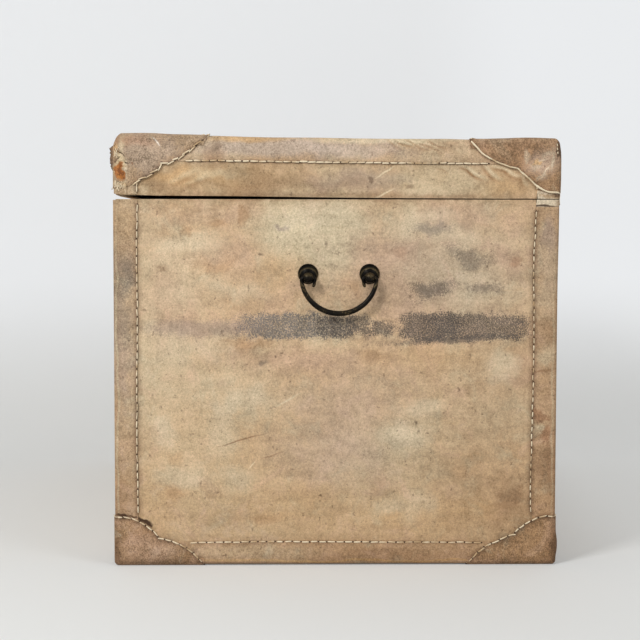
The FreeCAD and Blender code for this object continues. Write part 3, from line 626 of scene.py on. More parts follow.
PATCH_MARKS = hide_marks(
    (-215, 458, 60, 40, 0.62, linear(134, 110, 84), 0.3, 0.7),
    (-212, 458, 36, 22, 0.36, LILAC, 0.9, 0.5, 1.2),
    (-226, 474, 26, 6, 0.35, RUSSET, 0.6, 0.6, 0.5),
    (-240, 450, 7, 21, 0.55, FIBRE_AND_HIGHLIGHT, 0.9, 0.4, 0.8),
    (-231.5, 442, 1.8, 11, 0.50, linear(206, 190, 162), 0.6, 0.5),
    (-244, 464, 4, 8, 0.80, OCHRE, 0.8, 0.4, 0.6), (-241, 462, 5, 5, 0.45, UMBER, 1.2, 0.3, 1.0),
    (-239.2, 440.3, 9.6, 12.0, 0.85, linear(196, 176, 140), 0.35, 0.25, 0.4),
    (-239.6, 440.3, 6.9, 9.2, 1.0, RUST, 0.16, 0.16),
    (-238.2, 443, 3.4, 4.6, 0.75, linear(118, 62, 20), 0.8, 0.5),
    (-241, 436, 2.6, 3.0, 0.6, linear(190, 124, 52), 0.7, 0.5),
    (-235, 437, 1.6, 4.5, 0.6, linear(120, 74, 34), 0.8, 0.5),
    (-241, 428, 8, 5, 0.55, FIBRE_AND_HIGHLIGHT, 0.9, 0.4, 0.9), (-242, 431, 4, 1.2, 0.6, UMBER, 0.8, 0.4),
    (-238, 459, 5, 1.1, 0.9, TAR_AND_EDGE_SHADOW, 0.5, 0.4, 0, 30),
    (-231.5, 448, 3.4, 1.1, 0.9, TAR_AND_EDGE_SHADOW, 0.5, 0.4, 0, 25),
    (-243, 453, 3, 0.9, 0.8, TAR_AND_EDGE_SHADOW, 0.6, 0.4, 0, -20),
    (-244, 470, 3, 1.0, 0.6, TAR_AND_EDGE_SHADOW, 0.6, 0.4, 0, -60),
    (-200, 473.5, 5.4, 0.8, 0.8, CHALK, 0.3, 0.5, 0, 50),
    (-224, 449, 1.4, 1.4, 0.7, RUSSET, 0.5, 0.5), (-176, 466, 2.2, 1.6, 0.45, UMBER, 0.7, 0.5),
    (200, 465, 40, 20, 0.30, RUSSET, 0.7, 0.6),
    (215, 450, 60, 34, 0.52, linear(140, 106, 74), 0.3, 0.7),
    (231, 452, 22, 14, 0.40, LILAC, 0.8, 0.6, 0.8), (211, 458, 3.0, 8, 0.50, PALE, 1.1, 0.4, 0.7),
    (236, 461, 10, 3.4, 0.40, PALE, 1.2, 0.4, 0.7, -35),
    (240, 452, 1.3, 9, 0.75, PALE, 0.9, 0.4, 0.4, 8),
    (234, 440, 7, 1.3, 0.75, PALE, 0.9, 0.4, 0.4, -40),
    (228, 434, 7, 1.8, 0.50, PALE, 1.2, 0.4, 0.7, -15),
    (221, 447, 5, 4.4, 0.35, PALE, 1.4, 0.4, 0.9),
    (226, 453, 9, 1.4, 0.45, PALE, 1.2, 0.4, 0.7, -12), (222, 452, 4, 3, 0.80, OCHRE, 0.8, 0.4),
    (246.5, 468, 2.2, 9, 0.80, TAR_AND_EDGE_SHADOW, 0.6, 0.4, 0, -4),
    (-205, 20, 30, 16, 0.24, LILAC, 0.5, 0.6, 0.6),
    (-215, 28, 26, 20, 0.25, RUSSET, 0.9, 0.6, 0.8), (-246, 14, 4, 16, 0.45, UMBER, 0.6, 0.5),
    (240, 26, 12, 20, 0.48, BROWN, 0.5, 0.6), (247, 22, 4, 14, 0.70, UMBER, 0.4, 0.5))
HINGE_MARKS = hide_marks(
    (236, 407, 18, 8, 0.34, linear(232, 218, 194), 0.4, 0.5),
    # Painted shadow: the dark line under the tab's lower edge. The two short upright lines darken
    # the tab's end.
    (232, 402.4, 16, 1.1, 0.90, TAR_AND_EDGE_SHADOW, 0.4, 0.5, 0, 3), (222.8, 406, 0.9, 5, 0.80, TAR_AND_EDGE_SHADOW, 0.4, 0.5),
    (247, 405, 2, 4, 0.40, BROWN, 0.8, 0.5), (240, 414, 12, 2.4, 0.70, TAN, 1.0, 0.5, 0.8),
    (244, 416, 3, 2, 0.60, UMBER, 1.0, 0.4), (223, 414, 1.0, 5, 0.70, TAR_AND_EDGE_SHADOW, 0.4, 0.5))


@dataclass(frozen=True)
class Tone:
    """The colours of one kind of hide."""

    light: Point
    warm: Point
    low: Point
    dirt: float


class Hide(Enum):
    """The kinds of hide on the chest, by the record's material slot."""

    PANEL = "panel_parchment"
    STRIP = "strip_parchment"
    PATCH = "patch_parchment"
    HINGE = "hinge_parchment"


TONES = {
    Hide.PANEL: Tone(linear(200, 181, 149), linear(189, 159, 125), linear(182, 150, 112), 0.30),
    Hide.STRIP: Tone(linear(188, 165, 134), linear(174, 144, 111), linear(168, 134, 98), 0.34),
    Hide.PATCH: Tone(linear(172, 147, 117), linear(154, 122, 89), linear(150, 116, 81), 0.36),
    Hide.HINGE: Tone(linear(208, 196, 174), linear(196, 178, 150), linear(190, 168, 138), 0.40),
}
MARKS = {
    Hide.PANEL: PANEL_MARKS + LID_MARKS,
    Hide.STRIP: STRIP_MARKS,
    Hide.PATCH: PATCH_MARKS,
    Hide.HINGE: HINGE_MARKS,
}
CONTRAST = {Hide.PANEL: 1.15, Hide.STRIP: 1.25, Hide.PATCH: 1.75, Hide.HINGE: 1.1}
GRAIN = {Hide.PANEL: 0.58, Hide.STRIP: 1.0, Hide.PATCH: 1.35, Hide.HINGE: 1.0}


@dataclass(frozen=True)
class ParchmentFinish:
    """Worn, pasted and sewn parchment, with painted highlight and shade on the lid's folds, a
    painted shadow a little below each seam, painted shade along the bottom edge and a few painted
    highlights and shadows among its marks.
    """

    kind: Hide
    roughness: float = 0.60

    def make(self) -> bpy.types.Material:
        """Draws the material."""
        tone = TONES[self.kind]
        sheet = ShaderSheet(self.kind.value)
        broad = sheet.noise(7.0, 3.0, 0.55)
        mottle = sheet.noise(30.0, 5.0, 0.62, bend=0.8)
        blotch = sheet.noise(85.0, 4.0, 0.6, bend=0.5)
        streak = sheet.noise(10.0, 5.0, 0.65, sheet.stretch((1.0, 1.0, 6.0)), 0.3)
        drip = sheet.noise(14.0, 4.0, 0.62, sheet.stretch((1.0, 1.0, 0.2)), 0.3)
        brush = sheet.noise(1.0, 3.0, 0.6, sheet.stretch((16.0, 14.0, 60.0), (0.3, 0.0, 0.0)))
        weft = sheet.noise(950.0, 2.0, 0.6, sheet.stretch((0.45, 0.45, 1.0)))
        warp = sheet.noise(950.0, 2.0, 0.6, sheet.stretch((1.0, 1.0, 0.40)))
        speckle = sheet.noise(700.0, 2.0, 0.7)
        soft_grain = sheet.noise(330.0, 3.0, 0.6)

        height = sheet.axis(2)
        colour = sheet.mix(broad.step(0.34, 0.64), tone.warm, tone.light)
        colour = sheet.mix(height.step(0.30, 0.0) * 0.75, colour, tone.low)
        colour = sheet.mix(mottle.step(0.48, 0.70) * 0.55, colour, ROSE)
        colour = sheet.mix(mottle.step(0.48, 0.26) * 0.45, colour, CREAM)
        colour = sheet.mix(streak.step(0.55, 0.78) * 0.35, colour, OCHRE)
        colour = sheet.mix(drip.step(0.55, 0.78) * 0.30, colour, ROSE)
        colour = sheet.mix((blotch * broad).step(0.28, 0.42) * 0.22, colour, MAUVE)

        small_edge = blotch * 0.4 + soft_grain * 0.6
        for hide_mark in MARKS[self.kind]:
            edge = small_edge if min(hide_mark.radii) < FINE_MARK else blotch
            colour = sheet.mix(hide_mark.mask(sheet, edge, speckle), colour, hide_mark.colour)

        # Painted highlight on the crests of the lid's folds, and painted shade in their troughs.
        fold = sheet.attribute("fold")
        colour = sheet.mix(fold.most(0.0) * 0.65, colour, FIBRE_AND_HIGHLIGHT)
        colour = sheet.mix((fold * -1.0).most(0.0) * 0.95, colour, FOLD_SHADE)

        grime = sheet.attribute("grime")
        dirty = (grime * (0.45 + mottle * 1.0)).least(1.0)
        colour = sheet.mix(dirty * tone.dirt, colour, BROWN)
        # Needle crease and painted shadow: a dark line a little below each seam.
        crease_and_shadow = sheet.attribute("crease_and_shadow")
        colour = sheet.mix((crease_and_shadow * (0.5 + soft_grain)).least(1.0) * 0.75, colour, UMBER)
        # Wear on the low corners and the torn flap, and painted shade along the bottom edge where
        # the chest meets the floor.
        wear_and_base_shade = sheet.attribute("wear_and_base_shade")
        colour = sheet.mix((wear_and_base_shade * (0.3 + blotch * 1.3)).least(1.0), colour, UMBER)
        speck = sheet.noise(210.0, 2.0, 0.5).step(0.66, 0.74)
        colour = sheet.mix(speck * 0.45, colour, UMBER)

        uneven = ((speckle - 0.5) * 0.95 * GRAIN[self.kind] + (weft - 0.5) * 0.45
                  + (warp - 0.5) * 0.35 + (soft_grain - 0.5) * 0.60 + (blotch - 0.5) * 0.55
                  + (mottle - 0.5) * 0.50 + (drip - 0.5) * 0.22 + (brush - 0.5) * 0.50)
        part = (0.5 + uneven * CONTRAST[self.kind]).most(0.0).least(1.0)
        shade = sheet.mix(part, (0.5, 0.475, 0.435), (1.5, 1.525, 1.565))
        colour = sheet.mix(1.0, colour, shade, "MULTIPLY")

        relief = (mottle * 0.28 + blotch * 0.32 + soft_grain * 0.16 + weft * 0.08
                  + speckle * 0.14 + brush * 0.10 - crease_and_shadow * 0.10)
        normal = sheet.bump(relief, 0.6, 0.0016)
        rough = self.roughness + (mottle - 0.5) * 0.22 + grime * 0.08
        return sheet.finish(colour, rough, normal, Specular_IOR_Level=0.30)


@dataclass(frozen=True)
class ThreadFinish:
    """Waxed linen sewing thread, twisted and soiled."""

    name: str = "linen_thread"
    light: Point = linear(236, 220, 190)
    dark: Point = linear(186, 156, 116)

    def make(self) -> bpy.types.Material:
        """Draws the material."""
        sheet = ShaderSheet(self.name)
        soil = sheet.noise(38.0, 3.0, 0.6)
        twist = sheet.out(
            "ShaderNodeTexWave", {"wave_type": "BANDS", "bands_direction": "DIAGONAL"},
            {"Vector": sheet.place, "Scale": 380.0, "Distortion": 1.5, "Detail": 1.0})
        colour = sheet.mix(soil.step(0.42, 0.68), self.light, self.dark)
        colour = sheet.mix(twist * 0.22, colour, self.dark)
        return sheet.finish(colour, 0.62, sheet.bump(twist, 0.5, 0.0004))


@dataclass(frozen=True)
class DarkFinish:
    """The dark of needle holes, cracks and old glue; here it is the painted shade on the dark disc
    at each needle hole.
    """

    name: str = "needle_dark"

    def make(self) -> bpy.types.Material:
        """Draws the material."""
        sheet = ShaderSheet(self.name)
        tint = sheet.noise(90.0, 2.0)
        colour = sheet.mix(tint, linear(46, 30, 19), linear(78, 54, 34))
        return sheet.finish(colour, 0.85, None)


@dataclass(frozen=True)
class BronzeFinish:
    """Cast bronze with a dark brown patina, rubbed lighter where hands touch it. The rosettes'
    rims and the tops of the balls get a painted highlight; the dishes and the undersides of the
    balls get painted shade.
    """

    name: str = "dark_bronze"
    middle: float = 0.003
    pivot: float = 0.3234
    spacing: float = 0.0342

    def make(self) -> bpy.types.Material:
        """Draws the material."""
        sheet = ShaderSheet(self.name)
        patches = sheet.noise(70.0, 4.0, 0.6)
        pits = sheet.noise(520.0, 3.0, 0.6)
        colour = sheet.mix(patches.step(0.35, 0.7), linear(15, 12, 9), linear(34, 28, 18))
        rub = (patches * pits).step(0.27, 0.40)
        colour = sheet.mix(rub * 0.55, colour, linear(116, 98, 66))
        across, rise = sheet.axis(1) - self.middle, sheet.axis(2) - self.pivot
        side = across.most(across * -1.0) - self.spacing
        reach = (side * side + rise * rise) ** 0.5
        # Painted highlight: the rim of each rosette, which is also rubbed, and the upper half of
        # each ball are painted lighter.
        rim = reach.step(0.0092, 0.0100) * reach.step(0.0118, 0.0108)
        cap = rise.step(0.0005, 0.0035) * reach.step(0.0062, 0.0045)
        colour = sheet.mix(rim.most(cap) * (0.2 + patches * 0.6), colour, linear(92, 79, 54))
        # Painted shade: the dish round each ball, where grime also sits, and the lower half of
        # each ball are painted near black.
        dish = reach.step(0.0058, 0.0068) * reach.step(0.0098, 0.0088)
        under = rise.step(0.0005, -0.0035) * reach.step(0.0080, 0.0062)
        colour = sheet.mix(dish.most(under) * 0.8, colour, linear(8, 6, 4))
        rough = 0.30 + pits * 0.26
        return sheet.finish(colour, rough, sheet.bump(pits * 0.6 + patches * 0.4, 0.5, 0.0007),
                            Metallic=0.85)


@dataclass(frozen=True)
class WoodFinish:
    """Bare, aged softwood with its grain along one axis."""

    name: str
    along: int

    def make(self) -> bpy.types.Material:
        """Draws the material."""
        sheet = ShaderSheet(self.name)
        thin = [26.0, 26.0, 26.0]
        thin[self.along] = 1.2
        grain_place = sheet.stretch(tuple(thin))
        rings = sheet.noise(1.0, 3.0, 0.5, grain_place, 0.4)
        bands = sheet.out("ShaderNodeMath", {"operation": "SINE"}, {0: rings * 34.0}) * 0.5 + 0.5
        fibre = sheet.noise(14.0, 4.0, 0.65, grain_place)
        age = sheet.noise(7.0, 3.0, 0.55)
        colour = sheet.mix(bands.step(0.15, 0.95), linear(176, 132, 88), linear(140, 96, 58))
        colour = sheet.mix(fibre.step(0.45, 0.75) * 0.5, colour, linear(112, 74, 44))
        colour = sheet.mix(age.step(0.40, 0.70) * 0.55, colour, linear(120, 92, 66))
        knots = sheet.out("ShaderNodeTexVoronoi", {"feature": "F1"}, {
            "Vector": sheet.stretch((6.0, 6.0, 6.0)), "Scale": 1.0}, "Distance")
        colour = sheet.mix(knots.step(0.10, 0.04) * 0.8, colour, linear(82, 50, 28))
        normal = sheet.bump(bands * 0.4 + fibre * 0.6, 0.5, 0.0008)
        return sheet.finish(colour, 0.66 + (fibre - 0.5) * 0.2, normal, Specular_IOR_Level=0.25)


# ---------------------------------------------------------------- the shape of the hides

@dataclass
class Relief:
    """How the hides leave the true planes: puffs, sags and drifting seams, in metres.

    Every hide, thread and mark of a body goes through the same relief, so the layers stay in
    their order.
    """

    puff: float = 0.0012
    wall_x: float = 0.372
    wall_y: float = 0.242
    lid_top: float = 0.472
    gap: float = 0.0004
    lean: float = 0.0042
    sink: float = 0.0021
    front_rise: float = 0.0012
    back_fall: float = 0.0012
    lid_slim: float = 0.0025
    rim_lip: float = 0.0008
    worn_corner: float = 0.0048
    full_corner: float = 0.0016
    back_swell: float = 0.0006
    front_slim: float = 0.0017
    back_slim: float = 0.0015
    foot_bulge: float = 0.0016
    fold_height: float = 0.0010
    wobble: float = 0.0007
    handle_y: float = 0.003
    handle_z: float = 0.3274

    def outward(self, points: np.ndarray, lid: bool) -> np.ndarray:
        """The outward direction at each point, zero inside the walls."""
        way = np.zeros_like(points)
        for axis, half in ((0, self.wall_x), (1, self.wall_y)):
            way[:, axis] = np.sign(points[:, axis]) * np.maximum(np.abs(points[:, axis]) - half, 0)
        if lid:
            way[:, 2] = np.maximum(points[:, 2] - self.lid_top, 0)
        size = np.linalg.norm(way, axis=1, keepdims=True)
        return way / np.maximum(size, 1e-6) * np.minimum(size / 0.003, 1.0)

    def swell(self, points: np.ndarray) -> np.ndarray:
        """The puff of the hide at each point, from 0 to 1."""
        fine = lumps(points * 46 + (7, 0, 0), 1.0)
        return np.clip(0.42 + 0.60 * lumps(points, 14.0) + 0.26 * fine, 0.0, 1.0)

    def place(self, points: np.ndarray, lid: bool) -> np.ndarray:
        """Moves ideal points to where the worn hide has them.

        Args:
            points: Ideal points as rows.
            lid: True for the lid's pieces.

        Returns:
            The moved points.
        """
        x, y, z = points.T
        amount = self.swell(points) * self.puff
        near_rosette = np.hypot(y - self.handle_y, z - self.handle_z)
        amount = amount * np.where(np.abs(x) > 0.36, ramp(near_rosette, 0.055, 0.085), 1.0)
        to_corner = np.hypot(np.minimum(np.abs(x) - 0.380, 0), np.minimum(np.abs(y) - 0.250, 0))
        amount = amount * ramp(to_corner, 0.006, 0.045)
        if lid:
            amount = amount * ramp(z, 0.411, 0.420) + self.pucker(points) * self.fold_height
        else:
            amount = amount * ramp(z, 0.0035, 0.02) * ramp(z, 0.4095, 0.400)
        moved = points + self.outward(points, lid) * amount[:, None] + self.drift(points, lid)
        return moved + (self.lid_shape(points) if lid else self.chest_shape(points))

    def drift(self, points: np.ndarray, lid: bool) -> np.ndarray:
        """How far the seams wander along their wall, in place of their true lines."""
        shift = np.zeros_like(points)
        x, y, z = points.T
        for across, height, wide, tall, slide, rise in (LID_STRAYS if lid else CHEST_STRAYS):
            weight = np.exp(-((y - across) / wide) ** 2 - ((z - height) / tall) ** 2)
            weight = weight * ramp(x, 0.30, 0.372)
            shift[:, 1] += slide * weight
            shift[:, 2] += rise * weight
        if lid:
            return shift
        wobble = lumps(points[:, [2, 0, 1]] * (12, 3, 3) + (0, 5, 0), 1.0)
        climb = ramp(z, 0.030, 0.075)
        for (end, side), amounts in INWARD.items():
            amount = np.interp(z, INWARD_HEIGHTS, amounts) + wobble * self.wobble
            edge = (np.abs(x) > 0.3765) & (x * end > 0) & (y * side > 0)
            weight = ramp(np.abs(np.abs(y) - 0.223), 0.016, 0.002) * climb
            shift[:, 1] -= np.where(edge, side * weight * amount, 0)
            along = (np.abs(y) > 0.2465) & (x * end > 0) & (y * side > 0)
            weight = ramp(np.abs(np.abs(x) - 0.353), 0.016, 0.002) * climb
            shift[:, 0] -= np.where(along, end * weight * amount, 0)
        return shift

    def lid_shape(self, points: np.ndarray) -> np.ndarray:
        """The lid's lean, its sunk top and its worn corners."""
        shift = np.zeros_like(points)
        x, y, z = points.T
        upper, edge = ramp(z, 0.440, 0.476), ramp(z, 0.462, 0.479)
        near = ramp(x, 0.31, 0.37)
        swollen = ramp(z, 0.4104, 0.435) * ramp(z, 0.470, 0.455)
        shift[:, 2] += self.gap + self.lean * np.clip(0.250 - y, 0, 0.5)
        shift[:, 2] += self.front_rise * ramp(-y, -0.05, 0.15)
        shift[:, 2] -= self.sink * upper * ramp(np.abs(y), 0.225, 0.150)
        shift[:, 2] -= self.back_fall * ramp(y, 0.05, 0.22) * upper
        shift[:, 2] += self.rim_lip * near * ramp(-y, 0.236, 0.250) * ramp(z, 0.425, 0.4104)
        shift[:, 1] += self.lid_slim * ramp(-y, 0.12, 0.24)
        shift[:, 1] += self.worn_corner * near * ramp(-y, 0.232, 0.250) * edge
        shift[:, 1] -= self.full_corner * near * ramp(y, 0.236, 0.250) * edge
        wide = ramp(np.abs(x), 0.32, 0.37)
        shift[:, 1] += self.back_swell * wide * ramp(y, 0.235, 0.249) * swollen
        return shift

    def chest_shape(self, points: np.ndarray) -> np.ndarray:
        """The chest's walls, drawn in a little, and the bulge of its back foot."""
        shift = np.zeros_like(points)
        x, y, z = points.T
        shift[:, 1] += self.front_slim * ramp(-y, 0.12, 0.24)
        back = self.back_slim * (0.33 + 0.67 * ramp(z, 0.40, 0.30))
        shift[:, 1] -= back * ramp(y, 0.12, 0.24)
        foot = ramp(z, 0.006, 0.020) * ramp(z, 0.040, 0.026) * ramp(x, 0.30, 0.37)
        shift[:, 1] += self.foot_bulge * foot * ramp(y, 0.235, 0.249)
        return shift

    def pucker(self, points: np.ndarray) -> np.ndarray:
        """The slanting folds beside the lid's thread: crests 1, troughs below 0."""
        x, y, z = points.T
        total = np.zeros(len(points))
        for start_y, start_z, end_y, end_z, wide, high in FOLDS:
            run, rise = end_y - start_y, end_z - start_z
            length = math.hypot(run, rise)
            part = ((y - start_y) * run + (z - start_z) * rise) / length ** 2
            off = ((z - start_z) * run - (y - start_y) * rise) / length
            off = off + 0.0012 * np.sin(part * 5.0 + start_y * 300)
            fade = ramp(part, -0.12, 0.20) * ramp(part, 1.15, 0.55)
            total += high * fade * (np.exp(-(off / wide) ** 2)
                                    - 0.75 * np.exp(-(off / wide + 1.7) ** 2))
        return np.clip(total, -1, 1) * ramp(x, 0.374, 0.378)


# How far each upright seam strays inward at these heights, by end (x) and side (y).
INWARD_HEIGHTS = (0.06, 0.14, 0.25, 0.35, 0.40)
INWARD = {(1, -1): (0.0002, -0.0010, 0.0006, 0.0003, 0.0012),
          (1, 1): (0.0031, 0.0020, 0.0003, 0.0023, 0.0006),
          (-1, -1): (0.0010, 0.0016, 0.0024, 0.0028, 0.0036),
          (-1, 1): (0.0035, 0.0030, 0.0024, 0.0020, 0.0016)}
# Where a seam strays: its place across and up, how wide and tall, and how far across and up.
LID_STRAYS = (
    (-0.148, 0.4795, 0.022, 0.0075, 0.0065, 0.0),
    (-0.200, 0.446, 0.020, 0.016, 0.0045, -0.0015),
    (-0.224, 0.428, 0.016, 0.012, 0.0, 0.0045),
    (0.214, 0.432, 0.018, 0.013, 0.0, 0.0045),
    (0.200, 0.447, 0.012, 0.010, 0.0015, -0.0025),
)
CHEST_STRAYS = (
    (-0.060, 0.026, 0.110, 0.008, 0.0, 0.0017),
    (0.090, 0.026, 0.080, 0.008, 0.0, 0.0007),
    (0.200, 0.030, 0.012, 0.012, 0.0010, 0.0052),
    (-0.200, 0.030, 0.012, 0.012, 0.0020, 0.0010),
)
# The folds beside the lid's thread: both ends across and up, the width and the strength.
FOLDS = (
    (0.112, 0.4466, 0.127, 0.4390, 0.0014, 0.5),
    (0.137, 0.4470, 0.161, 0.4355, 0.0016, 0.9),
    (0.146, 0.4445, 0.167, 0.4295, 0.0018, 0.8),
    (0.163, 0.4470, 0.185, 0.4295, 0.0022, 1.0),
    (0.173, 0.4480, 0.197, 0.4385, 0.0018, 0.9),
    (0.187, 0.4440, 0.207, 0.4290, 0.0020, 0.8),
    (0.205, 0.4330, 0.214, 0.4210, 0.0020, 0.6),
    (0.056, 0.4780, 0.075, 0.4680, 0.0014, 0.6),
    (0.066, 0.4780, 0.090, 0.4670, 0.0014, 0.8),
    (0.077, 0.4780, 0.103, 0.4675, 0.0015, 0.8),
    (0.089, 0.4770, 0.117, 0.4645, 0.0015, 0.7),
    (0.102, 0.4775, 0.124, 0.4690, 0.0014, 0.5),
    (-0.188, 0.4250, -0.150, 0.4420, 0.0030, 0.4),
    (-0.172, 0.4210, -0.139, 0.4360, 0.0022, 0.3),
)
RELIEF = Relief()
HIDES: dict[Hide, bpy.types.Material] = {}
FINE_CUTS = ((1, 0.0015, range(16, 72)), (2, 0.4185, range(20)))


@dataclass
class HideSet:
    """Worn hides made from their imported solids, all of one kind and body."""

    body: str
    kind: Hide
    nodes: Sequence[str]
    step: float
    lines: tuple[tuple[int, float], ...] = ()
    fine: bool = False

    def build(self, seams: "SeamMap") -> list[bpy.types.Object]:
        """Makes and dresses the hides.

        Args:
            seams: Where the seams run, for the dirt and the painted shadow along them.

        Returns:
            The pieces.
        """
        made = []
        lid = self.body == "lid"
        for node in self.nodes:
            piece = Bench.copy_node(node, "worn_" + node)
            Bench.cut_grid(piece, self.step)
            for axis, line in self.lines:
                Bench.cut(piece, axis, [line, -line])
            if self.fine:
                for axis, first, steps in FINE_CUTS:
                    Bench.cut(piece, axis, [first + 0.003 * k for k in steps])
            ideal = read_points(piece)
            seams.soil(piece, ideal)
            # The folds' height, which the finish paints as highlight on the crests and shade in
            # the troughs.
            if lid and "right" in node:
                Bench.layer(piece, "fold", RELIEF.pucker(ideal))
            write_points(piece, RELIEF.place(ideal, lid))
            Bench.smooth(piece, 38)
            Bench.paint(piece, HIDES[self.kind])
            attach(piece, self.body)
            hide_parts(node)
            LOG.info("%s: %d faces", piece.name, len(piece.data.polygons))
            made.append(piece)
        return made


# ---------------------------------------------------------------- seams and thread

class Stitch(Enum):
    """How a seam is sewn."""

    RUNNING = "running"
    WHIPPED = "whipped"
    PIPED = "piped"


@dataclass(frozen=True)
class Seam:
    """One line of sewing: ideal points along it, the outward normal and how it is sewn."""

    points: tuple[Point, ...]
    normal: Point
    lid: bool
    sewn: Stitch = Stitch.RUNNING
    pitch: float = 0.0097
    size: float = 1.0
    girth: float = 1.0

    def spread(self, step: float) -> list[tuple[Vector, Vector]]:
        """Evenly spaced places along the seam.

        Args:
            step: The wanted spacing.

        Returns:
            Pairs of a point and the direction of travel.
        """
        ends = [Vector(p) for p in self.points]
        lengths = [(b - a).length for a, b in zip(ends, ends[1:])]
        total = sum(lengths)
        count = max(1, round(total / step))
        places = []
        for i in range(count):
            left = total * (i + 0.5) / count
            for (a, b), length in zip(zip(ends, ends[1:]), lengths):
                if left <= length or b is ends[-1]:
                    places.append((a.lerp(b, min(1.0, left / length)), (b - a).normalized()))
                    break
                left -= length
        return places


# How far the dirt reaches from a seam, and how wide the painted shadow line is and how far below
# the seam it sits.
DIRT_REACH, CREASE_REACH, SHADOW_DROP = 0.005, 0.0020, 0.0009


class SeamMap:
    """All seams, the dirt that gathers along them and the painted shadow a little below them."""

    def __init__(self, seams: Sequence[Seam]) -> None:
        """Spreads points along every seam."""
        places = [spot for seam in seams for spot, _ in seam.spread(0.004)]
        self.tree = kdtree.KDTree(len(places))
        for index, spot in enumerate(places):
            self.tree.insert(spot, index)
        self.tree.balance()

    def soil(self, piece: bpy.types.Object, ideal: np.ndarray) -> None:
        """Writes a hide's dirt, worn corners, painted shade along the bottom edge and needle
        creases with their painted shadow below each seam, at each point.

        Args:
            piece: The hide.
            ideal: Its points before the relief.
        """
        reach = np.array([self.tree.find(spot)[2] for spot in ideal])
        # Measured from a point a little higher, so that the crease's painted shadow sits below
        # each seam.
        below = np.array([self.tree.find(spot + (0, 0, SHADOW_DROP))[2] for spot in ideal])
        x, y, z = np.abs(ideal[:, 0]), np.abs(ideal[:, 1]), ideal[:, 2]
        corner = ramp(x, 0.366, 0.380) * ramp(y, 0.236, 0.250)
        edge = np.maximum(corner, ramp(z, 0.020, 0.0) * 0.8)
        Bench.layer(piece, "grime", np.maximum(0.8 * np.exp(-(reach / DIRT_REACH) ** 2), edge))
        # Wear on the low corners, and painted shade in the bottom 12 mm where the chest meets the
        # floor.
        Bench.layer(piece, "wear_and_base_shade", 0.35 * corner * ramp(z, 0.10, 0.0)
                    + 0.25 * ramp(z, 0.012, 0.0))
        Bench.layer(piece, "crease_and_shadow", np.exp(-(below / CREASE_REACH) ** 4))


STITCH_SIZE = (0.0085, 0.0017, 0.0012)
CORD_STEP, CORD_RADIUS, CORD_LIFT = 0.0048, 0.00105, 0.0005
# How unevenly the thread lies: the standard deviations of its places, sizes and turns.
CORD_LIFT_SPREAD, CORD_SPREAD, STRAND_SPREAD = 0.0001, 0.00022, 0.10
TILT_SPREAD, LENGTH_SPREAD, GIRTH_SPREAD, SIDE_SPREAD = 2.2, 0.06, 0.08, 0.00018
# How far out the thread on the back may stand, by the height where the opened lid meets it.
LID_LEVEL, LID_PATCH_LEVEL, PATCH_FOOT = 0.2504, 0.2513, 0.436
HINGE_LEVEL, CHEST_LEVEL, FREE_LEVEL = 0.2493, 0.2485, 0.2600
HINGE_FOOT, LID_REACH, STRIP_DROP = 0.3845, 0.335, 0.0005


